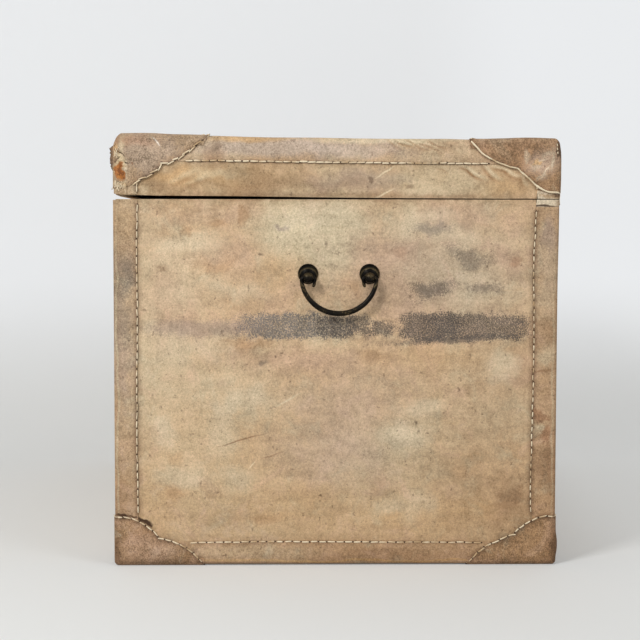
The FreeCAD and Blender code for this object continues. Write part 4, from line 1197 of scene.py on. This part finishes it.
class Sewer:
    """Sews threads along seams from one modelled stitch."""

    def __init__(self, thread: bpy.types.Material, dark: bpy.types.Material) -> None:
        """Models the stitch that all others are copied from."""
        self.finishes = (thread, dark)
        self.stitch, self.base = self.model_stitch(*STITCH_SIZE)
        self.random = random.Random(SEED)

    def model_stitch(self, length: float, width: float,
                     height: float) -> tuple[bpy.types.Mesh, np.ndarray]:
        """Models one stitch lying along X, with its needle hole behind it.

        Args:
            length: The stitch's length.
            width: Its width.
            height: How far it stands up.

        Returns:
            The mesh and its points.
        """
        bpy.ops.mesh.primitive_uv_sphere_add(segments=7, ring_count=8, radius=0.5)
        piece = bpy.context.object
        points = read_points(piece)[:, [2, 0, 1]]
        girth = np.maximum(np.linalg.norm(points[:, 1:], axis=1, keepdims=True), 1e-4) * 2
        points[:, 1:] *= np.minimum(girth ** 0.45 / girth, 4.0)
        along = points[:, 0] * 2
        points *= (length, width, height)
        points[:, 2] += height * 0.16 - height * 0.55 * np.abs(along) ** 4
        write_points(piece, points)
        Bench.paint(piece, *self.finishes)
        # The needle hole is a flat dark disc: painted shade where the thread goes into the hide.
        bpy.ops.mesh.primitive_circle_add(vertices=8, radius=0.5, fill_type="NGON",
                                          location=(length / 2 + 0.0006, 0, 0.00012))
        hole = bpy.context.object
        with Bench.editing(hole):
            bpy.ops.transform.resize(value=(0.0019, 0.0019, 1.0))
        Bench.bake_place(hole)
        Bench.paint(hole, *self.finishes)
        for face in hole.data.polygons:
            face.material_index = 1
        joined = Bench.join([piece, hole], "stitch")
        for face in joined.data.polygons:
            face.use_smooth = face.material_index == 0
        mesh, base = joined.data, read_points(joined)
        bpy.data.objects.remove(joined)
        return mesh, base

    def sew(self, name: str, body: str, seams: Sequence[Seam]) -> bpy.types.Object:
        """Sews a group of seams as one piece.

        Args:
            name: The piece's name.
            body: The body that it rides on.
            seams: The seams.

        Returns:
            The thread piece.
        """
        pieces = []
        for seam in seams:
            if seam.sewn is Stitch.PIPED:
                pieces.append(self.cord(seam))
                continue
            for index, (spot, way) in enumerate(seam.spread(seam.pitch)):
                pieces.append(self.one(seam, spot, way, index))
        joined = Bench.join(pieces, name)
        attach(joined, body)
        LOG.info("%s: %d stitches", name, len(pieces))
        return joined

    def cord(self, seam: Seam) -> bpy.types.Object:
        """Lays a smooth cord along a piped seam.

        Args:
            seam: The seam.

        Returns:
            The cord as a mesh object.
        """
        up = Vector(seam.normal)
        places = []
        for spot, _ in seam.spread(CORD_STEP):
            lift = up * (CORD_LIFT + self.random.gauss(0, CORD_LIFT_SPREAD))
            stray = Vector([self.random.gauss(0, CORD_SPREAD) for _ in "xyz"])
            places.append(spot + lift + stray)
        item = self.strand(places, CORD_RADIUS)
        write_points(item, self.press(RELIEF.place(read_points(item), seam.lid), seam))
        return item

    def press(self, points: np.ndarray, seam: Seam) -> np.ndarray:
        """Flattens the thread on the back, so that the opened lid can lie against it.

        Args:
            points: The points of a thread in place.
            seam: The seam that it belongs to.

        Returns:
            The points, with those of the back's seams held below a level.
        """
        if seam.normal[1] < 0.5:
            return points
        x, z = np.abs(points[:, 0]), points[:, 2]
        if seam.lid:
            level = np.where((x > 0.30) & (z > PATCH_FOOT), LID_PATCH_LEVEL, LID_LEVEL)
        else:
            level = np.where(z > HINGE_FOOT, HINGE_LEVEL,
                             np.where(z > LID_REACH, CHEST_LEVEL, FREE_LEVEL))
            level = level - np.where(x > 0.31, STRIP_DROP, 0.0)
        points[:, 1] = np.minimum(points[:, 1], level)
        return points

    def strand(self, places: Sequence[Vector], radius: float) -> bpy.types.Object:
        """Lays one uneven length of thread through a line of places.

        Args:
            places: The places, which it passes near.
            radius: Its radius.

        Returns:
            The strand as a mesh object.
        """
        line = bpy.data.curves.new("strand", "CURVE")
        line.dimensions = "3D"
        line.bevel_depth = radius
        line.bevel_resolution = 1
        line.use_fill_caps = True
        spline = line.splines.new("NURBS")
        spline.points.add(len(places) - 1)
        for point, spot in zip(spline.points, places):
            point.co = (*spot, 1)
            point.radius = 1 + self.random.gauss(0, STRAND_SPREAD)
        spline.order_u = 3
        spline.use_endpoint_u = True
        Bench.take(Bench.add("strand", line))
        bpy.ops.object.convert(target="MESH")
        item = bpy.context.object
        Bench.paint(item, *self.finishes)
        item.data.polygons.foreach_set("use_smooth", [True] * len(item.data.polygons))
        return item

    def one(self, seam: Seam, spot: Vector, way: Vector, index: int) -> bpy.types.Object:
        """Lays one stitch on the worn hide.

        Args:
            seam: The seam.
            spot: The ideal middle of the stitch.
            way: The direction of travel.
            index: Its number along the seam, which a whipped seam alternates on.

        Returns:
            The stitch as an object.
        """
        up = Vector(seam.normal)
        side = up.cross(way).normalized()
        tilt = math.radians(self.random.gauss(0, TILT_SPREAD))
        length = seam.size * (1 + self.random.gauss(0, LENGTH_SPREAD))
        if seam.sewn is Stitch.WHIPPED:
            second = index % 2
            tilt += math.radians(-7 if second else 7)
            length *= 1.22
            spot = spot + side * (0.0007 if second else -0.0007) + up * (0.0004 * second)
        turned = way * math.cos(tilt) + side * math.sin(tilt)
        across = up.cross(turned).normalized()
        girth = seam.girth * (1 + self.random.gauss(0, GIRTH_SPREAD))
        axes = np.array([turned * length, across * girth, up])
        spot = spot + side * self.random.gauss(0, SIDE_SPREAD)
        ideal = self.base @ axes + np.array(spot)
        item = Bench.add("stitch", self.stitch.copy())
        write_points(item, self.press(RELIEF.place(ideal, seam.lid), seam))
        return item


# ---------------------------------------------------------------- where the seams run

@dataclass(frozen=True)
class Wall:
    """One wall of the chest: its outward normal and its level direction."""

    normal: Point
    along: Point
    half: float
    face: float

    def at(self, across: float, height: float, proud: float = 0.0) -> Point:
        """The point on the wall at a place across and a height."""
        spot = Vector(self.normal) * (self.face + proud) + Vector(self.along) * across
        return (spot.x, spot.y, height)


WALLS = {
    "right": Wall((1, 0, 0), (0, 1, 0), 0.250, 0.379),
    "left": Wall((-1, 0, 0), (0, -1, 0), 0.250, 0.379),
    "front": Wall((0, -1, 0), (1, 0, 0), 0.380, 0.249),
    "back": Wall((0, 1, 0), (-1, 0, 0), 0.380, 0.249),
}


def arc(start: tuple[float, float], end: tuple[float, float], radius: float,
        count: int = 9) -> list[tuple[float, float]]:
    """Points on the shorter arc between two places, bulging to the left of the way.

    Args:
        start: Where it starts.
        end: Where it ends.
        radius: Its radius.
        count: How many points.

    Returns:
        The points, both ends included.
    """
    a, b = Vector(start), Vector(end)
    chord = b - a
    side = Vector((chord.y, -chord.x)).normalized()
    centre = (a + b) / 2 + side * math.sqrt(max(radius ** 2 - (chord.length / 2) ** 2, 0))
    first, last = (a - centre), (b - centre)
    turn = first.angle_signed(last)
    points = []
    for i in range(count):
        spin = Matrix.Rotation(-turn * i / (count - 1), 2)
        points.append(tuple(centre + spin @ first))
    return points


@dataclass
class SeamPlan:
    """Where every seam of the chest runs, from the sizes of its strips and patches."""

    strip: float = 0.027
    foot: tuple[float, float, float, float] = (0.102, 0.0545, 0.0495, 0.0297)
    cap: tuple[float, float, float, float] = (0.102, 0.061, 0.050, 0.033)
    lobes: tuple[float, float] = (0.047, 0.065)
    top: float = 0.479
    rounding: tuple[float, float] = (0.007, 0.005)
    torn: float = 0.0165
    base_line: float = 0.0252
    lid_line: float = 0.4495
    uprights: tuple[float, float] = (0.0585, 0.4045)
    lid_uprights: tuple[float, float] = (0.4135, 0.4275)
    at_hinge: tuple[float, float] = (0.398, 0.420)
    hinge_lines: tuple[float, float] = (0.3872, 0.4332)
    hinge_half: float = 0.352

    def chest(self) -> list[Seam]:
        """Upright seams, base seams and the foot patches' seams."""
        seams = []
        for name, wall in WALLS.items():
            for side in (-1, 1):
                low, high = self.uprights
                if name == "back" or wall.along[1] * side > 0:
                    high = self.at_hinge[0]
                across = side * (wall.half - self.strip)
                short = name == "right" and side > 0
                seams.append(Seam((wall.at(across, low), wall.at(across, high)), wall.normal,
                                  False, pitch=0.0083 if short else 0.0096,
                                  size=0.70 if short else 0.98, girth=0.82))
                seams.append(self.lobed(wall, side, self.foot, 0.0, 1, False))
            reach = wall.half - 0.0855
            ends = (wall.at(-reach, self.base_line), wall.at(reach, self.base_line))
            seams.append(Seam(ends, wall.normal, False))
        return seams

    def lid(self) -> list[Seam]:
        """The line round the lid and the top, and the short upright seams."""
        seams = []
        for name, wall in WALLS.items():
            reach = wall.half - 0.082
            ends = (wall.at(-reach, self.lid_line), wall.at(reach, self.lid_line))
            seams.append(Seam(ends, wall.normal, True, pitch=0.0090, size=1.08, girth=1.12))
            for side in (-1, 1):
                low, high = self.lid_uprights
                if name == "back" or wall.along[1] * side > 0:
                    low = self.at_hinge[1]
                across = side * (wall.half - self.strip)
                seams.append(Seam((wall.at(across, low), wall.at(across, high)),
                                  wall.normal, True, pitch=0.0050, size=0.55, girth=0.9))
            inset = 0.030
            span = wall.half - 0.104
            base = Vector(wall.normal) * (wall.face + 0.001 - inset)
            ends = [base + Vector(wall.along) * s * span for s in (-1, 1)]
            seams.append(Seam(tuple((e.x, e.y, 0.4785) for e in ends), (0, 0, 1), True))
        return seams

    def caps(self) -> list[Seam]:
        """The seams of the lid's corner patches, on the walls and on the top."""
        seams = []
        for wall in WALLS.values():
            for side in (-1, 1):
                sewn = Stitch.WHIPPED if wall.along[1] * side <= 0 else Stitch.PIPED
                seams.append(self.lobed(wall, side, self.cap, self.top, -1, True, sewn))
        for sx in (-1, 1):
            for sy in (-1, 1):
                outline = (arc((0.0, 0.102), (0.040, 0.040), 0.056)[:-1]
                           + arc((0.040, 0.040), (0.102, 0.0), 0.056))
                points = tuple((sx * (0.380 - u), sy * (0.250 - v), self.top)
                               for u, v in outline)
                seams.append(Seam(points, (0, 0, 1), True, Stitch.WHIPPED))
        seams.append(Seam(((0.3792, 0.2452, 0.4600), (0.3792, 0.2448, 0.4735)), (1, 0, 0), True,
                          pitch=0.0050, size=0.45, girth=0.9))
        return seams

    def lobed(self, wall: Wall, side: int, sizes: tuple[float, float, float, float],
              level: float, upwards: int, lid: bool, sewn: Stitch = Stitch.RUNNING) -> Seam:
        """The cusped outline of one wing of a patch.

        Args:
            wall: The wall that it lies on.
            side: Which end of the wall, -1 or 1.
            sizes: Width, height, and the cusp's places along and up.
            level: The height of the level edge.
            upwards: 1 if the patch rises from it, -1 if it hangs.
            lid: True for the lid's patches.
            sewn: How it is sewn.

        Returns:
            The seam.
        """
        width, height, along, up = sizes
        outline = (arc((0.0, height), (along, up), self.lobes[0])[:-1]
                   + arc((along, up), (width, 0.0), self.lobes[1]))
        radius = self.rounding[0] if lid else self.rounding[1]
        torn = self.torn if lid and wall.normal[0] > 0 and side < 0 else 0.0
        points = []
        for u, v in outline:
            if u >= torn:
                u, v = max(u, 0.0012), max(v, 0.0012)
                fall = sum(radius - math.sqrt(radius ** 2 - (radius - min(radius, w)) ** 2)
                           for w in (u, v))
                points.append(wall.at(side * (wall.half - u), level + upwards * v, 0.001 - fall))
        pitch = {Stitch.RUNNING: 0.0090, Stitch.WHIPPED: 0.0078, Stitch.PIPED: 0.0088}[sewn]
        return Seam(tuple(points), wall.normal, lid, sewn, pitch)

    def hinge(self) -> tuple[list[Seam], list[Seam]]:
        """The hinge strip's seams on the chest and on the lid."""
        wall = WALLS["back"]
        low, high = (Seam((wall.at(-self.hinge_half, height), wall.at(self.hinge_half, height)),
                          wall.normal, lid)
                     for height, lid in zip(self.hinge_lines, (False, True)))
        return [low], [high]


# ---------------------------------------------------------------- sub-assemblies

SIDES = ("front", "right", "back", "left")
CORNERS = ("front_left", "front_right", "back_right", "back_left")


UPRIGHTS = ((1, 0.223), (1, 0.2215), (1, 0.2245), (0, 0.353), (0, 0.3515), (0, 0.3545))
BASE_LINE = ((2, 0.0245), (2, 0.0275))


@dataclass
class Clad:
    """What the chest and the lid share: boards under a sewn hide."""

    sewer: Sewer
    seams: SeamMap
    boards: dict[str, bpy.types.Material]
    plan: SeamPlan = field(default_factory=SeamPlan)

    def carcase(self, body: str, part: str, level: str) -> None:
        """Ages the boards.

        Args:
            body: The body that they ride on.
            part: What its four upright boards are called.
            level: The node of its level board.
        """
        for side in SIDES:
            along = "along" if side in ("front", "back") else "across"
            age_board(f"{body}_{side}_{part}", body, self.boards[along])
        age_board(level, body, self.boards["along"])


@dataclass
class ChestBody(Clad):
    """The chest under its hide: boards, panels, strips and foot patches."""

    def build(self) -> None:
        """Builds and dresses all of it."""
        self.carcase("chest", "board", "chest_bottom_board")
        for kind, nodes, step, lines in (
                (Hide.PANEL, [f"chest_{s}_panel" for s in SIDES], 0.009, UPRIGHTS + BASE_LINE),
                (Hide.STRIP, [f"chest_{c}_strip" for c in CORNERS], 0.006, UPRIGHTS),
                (Hide.STRIP, [f"base_{s}_strip" for s in SIDES], 0.007, ()),
                (Hide.PATCH, [f"chest_{c}_patch" for c in CORNERS], 0.0045, ())):
            HideSet("chest", kind, nodes, step, lines).build(self.seams)
        self.sewer.sew("chest_thread", "chest", self.plan.chest())


@dataclass
class Lid(Clad):
    """The lid under its hide."""

    def build(self) -> None:
        """Builds and dresses all of it."""
        self.carcase("lid", "rail", "lid_top_board")
        plain = [s for s in SIDES if s != "right"]
        for kind, nodes, step, fine in (
                (Hide.PANEL, [f"lid_{s}_panel" for s in plain] + ["lid_top_panel"], 0.009, False),
                (Hide.PANEL, ["lid_right_panel"], 0.003, True),
                (Hide.STRIP, [f"lid_{c}_strip" for c in CORNERS], 0.006, False),
                (Hide.STRIP, [f"lid_{s}_edge_strip" for s in plain], 0.006, False),
                (Hide.STRIP, ["lid_right_edge_strip"], 0.003, True),
                (Hide.PATCH, [f"lid_{c}_patch" for c in CORNERS], 0.0045, False)):
            HideSet("lid", kind, nodes, step, fine=fine).build(self.seams)
        self.sewer.sew("lid_thread", "lid", self.plan.lid() + self.plan.caps())
        TornCorner(self.sewer).build()


KNOT_TAIL = ((0.0, 0.0, 0.0), (0.0006, 0.0006, -0.003), (-0.0002, 0.0002, -0.0055),
             (-0.0004, 0.001, -0.0078))


@dataclass
class TornCorner:
    """The worn-through corner of the lid: a flap, loose fibres, a knot and thread ends."""

    sewer: Sewer
    face: float = 0.3803
    flap_low: float = 0.4385
    flap_high: float = 0.4690
    flap_root: float = -0.2462
    flap_reach: float = 0.0052
    knot: Point = (0.3812, -0.2334, 0.4252)
    fibres: int = 20

    def build(self) -> None:
        """Builds it as one piece of hide and one of thread."""
        flap = self.flap()
        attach(flap, "lid")
        threads = [self.fibre() for _ in range(self.fibres)] + self.knotted() + self.ends()
        joined = Bench.join(threads, "torn_fibres")
        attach(joined, "lid")
        LOG.info("torn corner: %d strands", len(threads))

    def flap(self) -> bpy.types.Object:
        """The sliver of dry hide that stands out past the corner."""
        piece = Bench.grid("torn_flap", 6, 44)
        points = read_points(piece)
        out, rise = points[:, 0] + 0.5, points[:, 1] + 0.5
        line = np.outer(rise, (0, 1, 0))
        ragged = lumps(line * 7 + (0, 0, 2), 1.0) + 0.8 * lumps(line * 21 + (0, 0, 5), 1.0)
        reach = self.flap_reach * (0.78 + 0.40 * ragged) * ramp(rise, 1.02, 0.90)
        reach = reach * (0.25 + 0.75 * ramp(rise, -0.05, 0.45))
        points[:, 1] = self.flap_root - out * reach
        points[:, 2] = self.flap_low + rise * (self.flap_high - self.flap_low)
        points[:, 0] = 0.3745 - 0.0030 * out ** 2 + 0.0008 * ragged
        write_points(piece, points)
        Bench.layer(piece, "grime", np.ones(len(points)))
        Bench.layer(piece, "wear_and_base_shade", 0.35 + 0.5 * out)
        Bench.thicken(piece, 0.0008)
        Bench.paint(piece, HIDES[Hide.PATCH])
        return piece

    def fibre(self) -> bpy.types.Object:
        """One loose fibre of the torn hide."""
        draw = self.sewer.random
        across = draw.uniform(-0.2445, -0.2365)
        height = draw.choice((draw.uniform(0.4215, 0.4275), draw.uniform(0.454, 0.468)))
        length, slant = draw.uniform(0.003, 0.008), draw.gauss(0, 0.35)
        places = []
        for k in range(4):
            part = (k / 3 - 0.5) * length
            places.append(Vector((self.face + draw.uniform(-0.0002, 0.0005),
                                  across + part * slant + draw.gauss(0, 0.0005), height + part)))
        return self.sewer.strand(places, draw.uniform(0.00022, 0.00042))

    def knotted(self) -> list[bpy.types.Object]:
        """The knot at the end of the patch's seam, and its tail."""
        bpy.ops.mesh.primitive_ico_sphere_add(subdivisions=3, radius=0.0019, location=self.knot)
        piece = bpy.context.object
        Bench.bake_place(piece)
        points = read_points(piece) - np.array(self.knot)
        points *= (1 + 0.35 * lumps(points, 900))[:, None] * np.array([0.8, 1.0, 1.25])
        write_points(piece, points + np.array(self.knot))
        piece.data.polygons.foreach_set("use_smooth", [True] * len(piece.data.polygons))
        Bench.paint(piece, *self.sewer.finishes)
        tail = [Vector(np.add(self.knot, step)) for step in KNOT_TAIL]
        return [piece, self.sewer.strand(tail, 0.0006)]

    def ends(self) -> list[bpy.types.Object]:
        """Two cut thread ends over the top edge, where the patch's seam runs out."""
        root = Vector((0.3780, -0.1440, 0.4770))
        return [self.sewer.strand([root, root + Vector((-0.001, 0.0012 * s, 0.002)),
                                   root + Vector((-0.003, 0.0026 * s + 0.001, 0.0036))], 0.0005)
                for s in (-1, 1)]


BOARD_CUTS_ACROSS = (0.05, 0.10, 0.13, 0.15, 0.17, 0.19, 0.21, 0.225, 0.24)
BOARD_CUTS_UP = (0.30, 0.33, 0.36, 0.385, 0.40, 0.440, 0.452, 0.464)


def age_board(node: str, body: str, wood: bpy.types.Material) -> None:
    """Copies a board of the carcase, out of true like the hide on it.

    Args:
        node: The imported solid.
        body: The body that it rides on.
        wood: Its finish.
    """
    piece = Bench.copy_node(node, "aged_" + node)
    Bench.cut(piece, 1, [side * place for side in (-1, 1) for place in BOARD_CUTS_ACROSS])
    Bench.cut(piece, 2, BOARD_CUTS_UP)
    points = read_points(piece)
    bend = RELIEF.lid_shape if body == "lid" else RELIEF.chest_shape
    write_points(piece, points + bend(points))
    Bench.smooth(piece, 30)
    Bench.paint(piece, wood)
    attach(piece, body)
    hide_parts(node)


@dataclass
class Hinge:
    """The flexible strip along the back that joins the lid to the chest."""

    sewer: Sewer
    seams: SeamMap
    plan: SeamPlan = field(default_factory=SeamPlan)
    fold_low: float = 0.4040
    fold_high: float = 0.4164
    fold_face: float = 0.2490
    fold_half: float = 0.3765

    def build(self) -> None:
        """Builds both halves, the fold between them and their thread."""
        HideSet("chest", Hide.HINGE, ("hinge_strip_chest",), 0.008).build(self.seams)
        HideSet("lid", Hide.HINGE, ("hinge_strip_lid",), 0.008).build(self.seams)
        low, high = self.plan.hinge()
        self.sewer.sew("hinge_thread_chest", "chest", low)
        self.sewer.sew("hinge_thread_lid", "lid", high)
        self.fold()

    def fold(self) -> None:
        """The thin middle of the strip, where the hinge bends when the lid opens; this piece is
        not made to bend.
        """
        piece = Bench.grid("hinge_fold", 70, 14)
        points = read_points(piece)
        part = points[:, 1] + 0.5
        wave = lumps(points * (40, 2, 0), 1.0)
        points[:, 2] = self.fold_low + part * (self.fold_high - self.fold_low)
        points[:, 0] *= 2 * self.fold_half
        points[:, 1] = self.fold_face + 0.0002 * wave - 0.0004 * np.sin(part * math.pi)
        write_points(piece, points)
        Bench.thicken(piece, 0.0006)
        Bench.paint(piece, HIDES[Hide.HINGE])
        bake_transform(piece)


@dataclass
class Handles:
    """The bail handles on both ends."""

    bronze: bpy.types.Material
    pivot: float = 0.3234
    middle: float = 0.003
    fuller: float = 0.00030
    blunt: float = 0.00045
    hammered: float = 0.00012

    def build(self) -> None:
        """Dresses the posts, plates, washers and bails."""
        for side in ("right", "left"):
            for part in ("posts", "rosettes", "washers"):
                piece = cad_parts[f"{side}_{part}"]
                Bench.paint(piece, self.bronze)
                Bench.smooth(piece, 35)
            self.bail(side)

    def bail(self, side: str) -> None:
        """Copies a bail as cast: fuller below its pivots, with blunt tails and a hammered skin.

        Args:
            side: Which end of the chest it hangs on.
        """
        piece = Bench.copy_node(f"{side}_bail", f"cast_{side}_bail")
        Bench.face_out(piece)
        points = read_points(piece)
        outward = np.array([tuple(point.normal) for point in piece.data.vertices])
        drop = self.pivot - points[:, 2]
        inner = ramp(np.abs(points[:, 1] - self.middle), 0.0325, 0.0305)
        tail = ramp(drop, 0.003, 0.008) * ramp(drop, 0.020, 0.016) * inner
        below = ramp(drop, 0.0045, 0.010)
        skin = self.fuller + self.hammered * lumps(points, 260)
        points += outward * (below * skin + tail * self.blunt)[:, None]
        points[:, 2] += tail * np.maximum(drop - 0.007, 0) * 0.40
        write_points(piece, points)
        Bench.smooth(piece, 35)
        Bench.paint(piece, self.bronze)
        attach(piece, f"{side}_bail")
        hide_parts(f"{side}_bail")
        LOG.info("%s: %d points", piece.name, len(points))


# ---------------------------------------------------------------- the studio

@dataclass
class Studio:
    """Floor, backdrop, lights and camera."""

    camera_place: Point = (1.980, -0.0465, 0.3725)
    yaw: float = 1.024
    pitch: float = 3.444
    roll: float = 0.08
    focal: float = 1441.5
    frame_width: float = 640.0
    sensor: float = 36.0
    lamp_target: Point = (0.35, 0.0, 0.25)
    sky_colour: Point = (1.0, 0.995, 0.98)
    sky_strength: float = 0.44
    backdrop: Point = (0.84, 0.84, 0.84)
    sweep_run: float = 7.0
    sweep_front: float = 3.2
    sweep_start: float = -0.42
    sweep_radius: float = 0.45

    def build(self) -> None:
        """Sets all of it up."""
        self.floor()
        self.lights()
        self.camera()

    def floor(self) -> None:
        """The pale floor that sweeps up into the backdrop."""
        sweep = Bench.grid("studio_floor", 80, 2)
        points = read_points(sweep)
        run = (0.5 - points[:, 0]) * self.sweep_run
        flat = self.sweep_front - self.sweep_start
        turn = np.clip((run - flat) / self.sweep_radius, 0, math.pi / 2)
        wall = np.maximum(run - flat - self.sweep_radius * math.pi / 2, 0)
        level = np.minimum(run, flat)
        points[:, 0] = self.sweep_front - level - self.sweep_radius * np.sin(turn)
        points[:, 2] = self.sweep_radius * (1 - np.cos(turn)) + wall
        points[:, 1] *= 7.0
        write_points(sweep, points)
        Bench.smooth(sweep, 60)
        paper = self.paper()
        Bench.paint(sweep, paper)
        rear = Bench.grid("studio_floor_rear", 12, 12)
        points = read_points(rear) * (4.6, 7.0, 1.0)
        write_points(rear, points + np.array([self.sweep_start - 2.3, 0, -0.0005]))
        Bench.paint(rear, paper)

    def paper(self) -> bpy.types.Material:
        """White paper that shows a little paler than it is lit.

        It shows from its front alone, so that views from behind the sweep look past it.

        Returns:
            The material.
        """
        sheet = ShaderSheet("studio_paper")
        tint = sheet.noise(1.4, 2.0)
        high = sheet.axis(2).step(0.02, 0.30)
        colour = sheet.mix(tint * 0.25, linear(225, 226, 225), linear(220, 221, 219))
        # Painted light: the paper is painted paler higher up, and for the camera it partly glows,
        # more higher up and most on the right, where the glow lifts the key lamp's shadow.
        colour = sheet.mix(high, colour, linear(237, 239, 241))
        right = sheet.axis(1).step(0.16, 0.42)
        glowing = 0.12 + high * 0.38 + right * 0.34
        matt = sheet.out("ShaderNodeBsdfDiffuse", {}, {"Color": colour})
        glow = sheet.out("ShaderNodeEmission", {}, {"Color": colour, "Strength": 1.0})
        front = sheet.out("ShaderNodeMixShader", {}, {
            0: sheet.seen() * glowing, 1: matt, 2: glow})
        behind = sheet.out("ShaderNodeNewGeometry", {}, {}, "Backfacing")
        clear = sheet.out("ShaderNodeBsdfTransparent", {}, {})
        sided = sheet.out("ShaderNodeMixShader", {}, {0: behind, 1: front, 2: clear})
        sheet.node("ShaderNodeOutputMaterial", {}, {"Surface": sided})
        return sheet.owner

    def lights(self) -> None:
        """A soft key from the upper left front, a weak fill and an even sky."""
        sheet = ShaderSheet("studio", world=True)
        sky = sheet.out("ShaderNodeBackground", {}, {
            "Color": self.sky_colour, "Strength": self.sky_strength})
        back = sheet.out("ShaderNodeBackground", {}, {
            "Color": self.backdrop, "Strength": 1.0})
        shown = sheet.out("ShaderNodeMixShader", {}, {0: sheet.seen(), 1: sky, 2: back})
        sheet.node("ShaderNodeOutputWorld", {}, {"Surface": shown})
        bpy.context.scene.world = sheet.owner
        self.lamp("key", (2.0, -1.5, 1.75), 0.7, 44.0)
        self.lamp("fill", (2.1, 1.9, 1.7), 1.1, 16.0)

    def lamp(self, name: str, place: Point, size: float, power: float) -> None:
        """One square soft lamp, aimed at the photographed end."""
        data = bpy.data.lights.new(name, "AREA")
        data.shape = "SQUARE"
        data.size = size
        data.energy = power
        lamp = Bench.add(name, data)
        lamp.location = place
        aim = Vector(self.lamp_target) - Vector(place)
        lamp.rotation_euler = aim.to_track_quat("-Z", "Y").to_euler()

    def camera(self) -> None:
        """The camera at the photograph's viewing angle."""
        data = bpy.data.cameras.new("camera")
        data.sensor_fit = "HORIZONTAL"
        data.sensor_width = self.sensor
        data.lens = self.focal / self.frame_width * self.sensor
        camera = Bench.add("camera", data)
        camera.location = self.camera_place
        yaw, pitch = math.radians(self.yaw), math.radians(self.pitch)
        ahead = Vector((-math.cos(yaw) * math.cos(pitch), math.sin(yaw) * math.cos(pitch),
                        -math.sin(pitch)))
        turn = ahead.to_track_quat("-Z", "Y")
        camera.rotation_euler = (turn @ Quaternion((0, 0, 1), math.radians(self.roll))).to_euler()
        bpy.context.scene.camera = camera


def main() -> None:
    """Builds the chest's looks and the studio, in order."""
    logging.basicConfig(level=logging.INFO, format="%(message)s")
    bpy.context.scene.view_settings.view_transform = "Standard"
    Bench.clear()
    for kind in Hide:
        HIDES[kind] = ParchmentFinish(kind).make()
    boards = {"along": WoodFinish("board_wood_along", 0).make(),
              "across": WoodFinish("board_wood_across", 1).make()}
    sewer = Sewer(ThreadFinish().make(), DarkFinish().make())
    plan = SeamPlan()
    low, high = plan.hinge()
    seams = SeamMap(plan.chest() + plan.lid() + plan.caps() + low + high)
    ChestBody(sewer, seams, boards).build()
    Lid(sewer, seams, boards).build()
    Hinge(sewer, seams).build()
    Handles(BronzeFinish().make()).build()
    Studio().build()


if __name__ == "__main__":
    main()
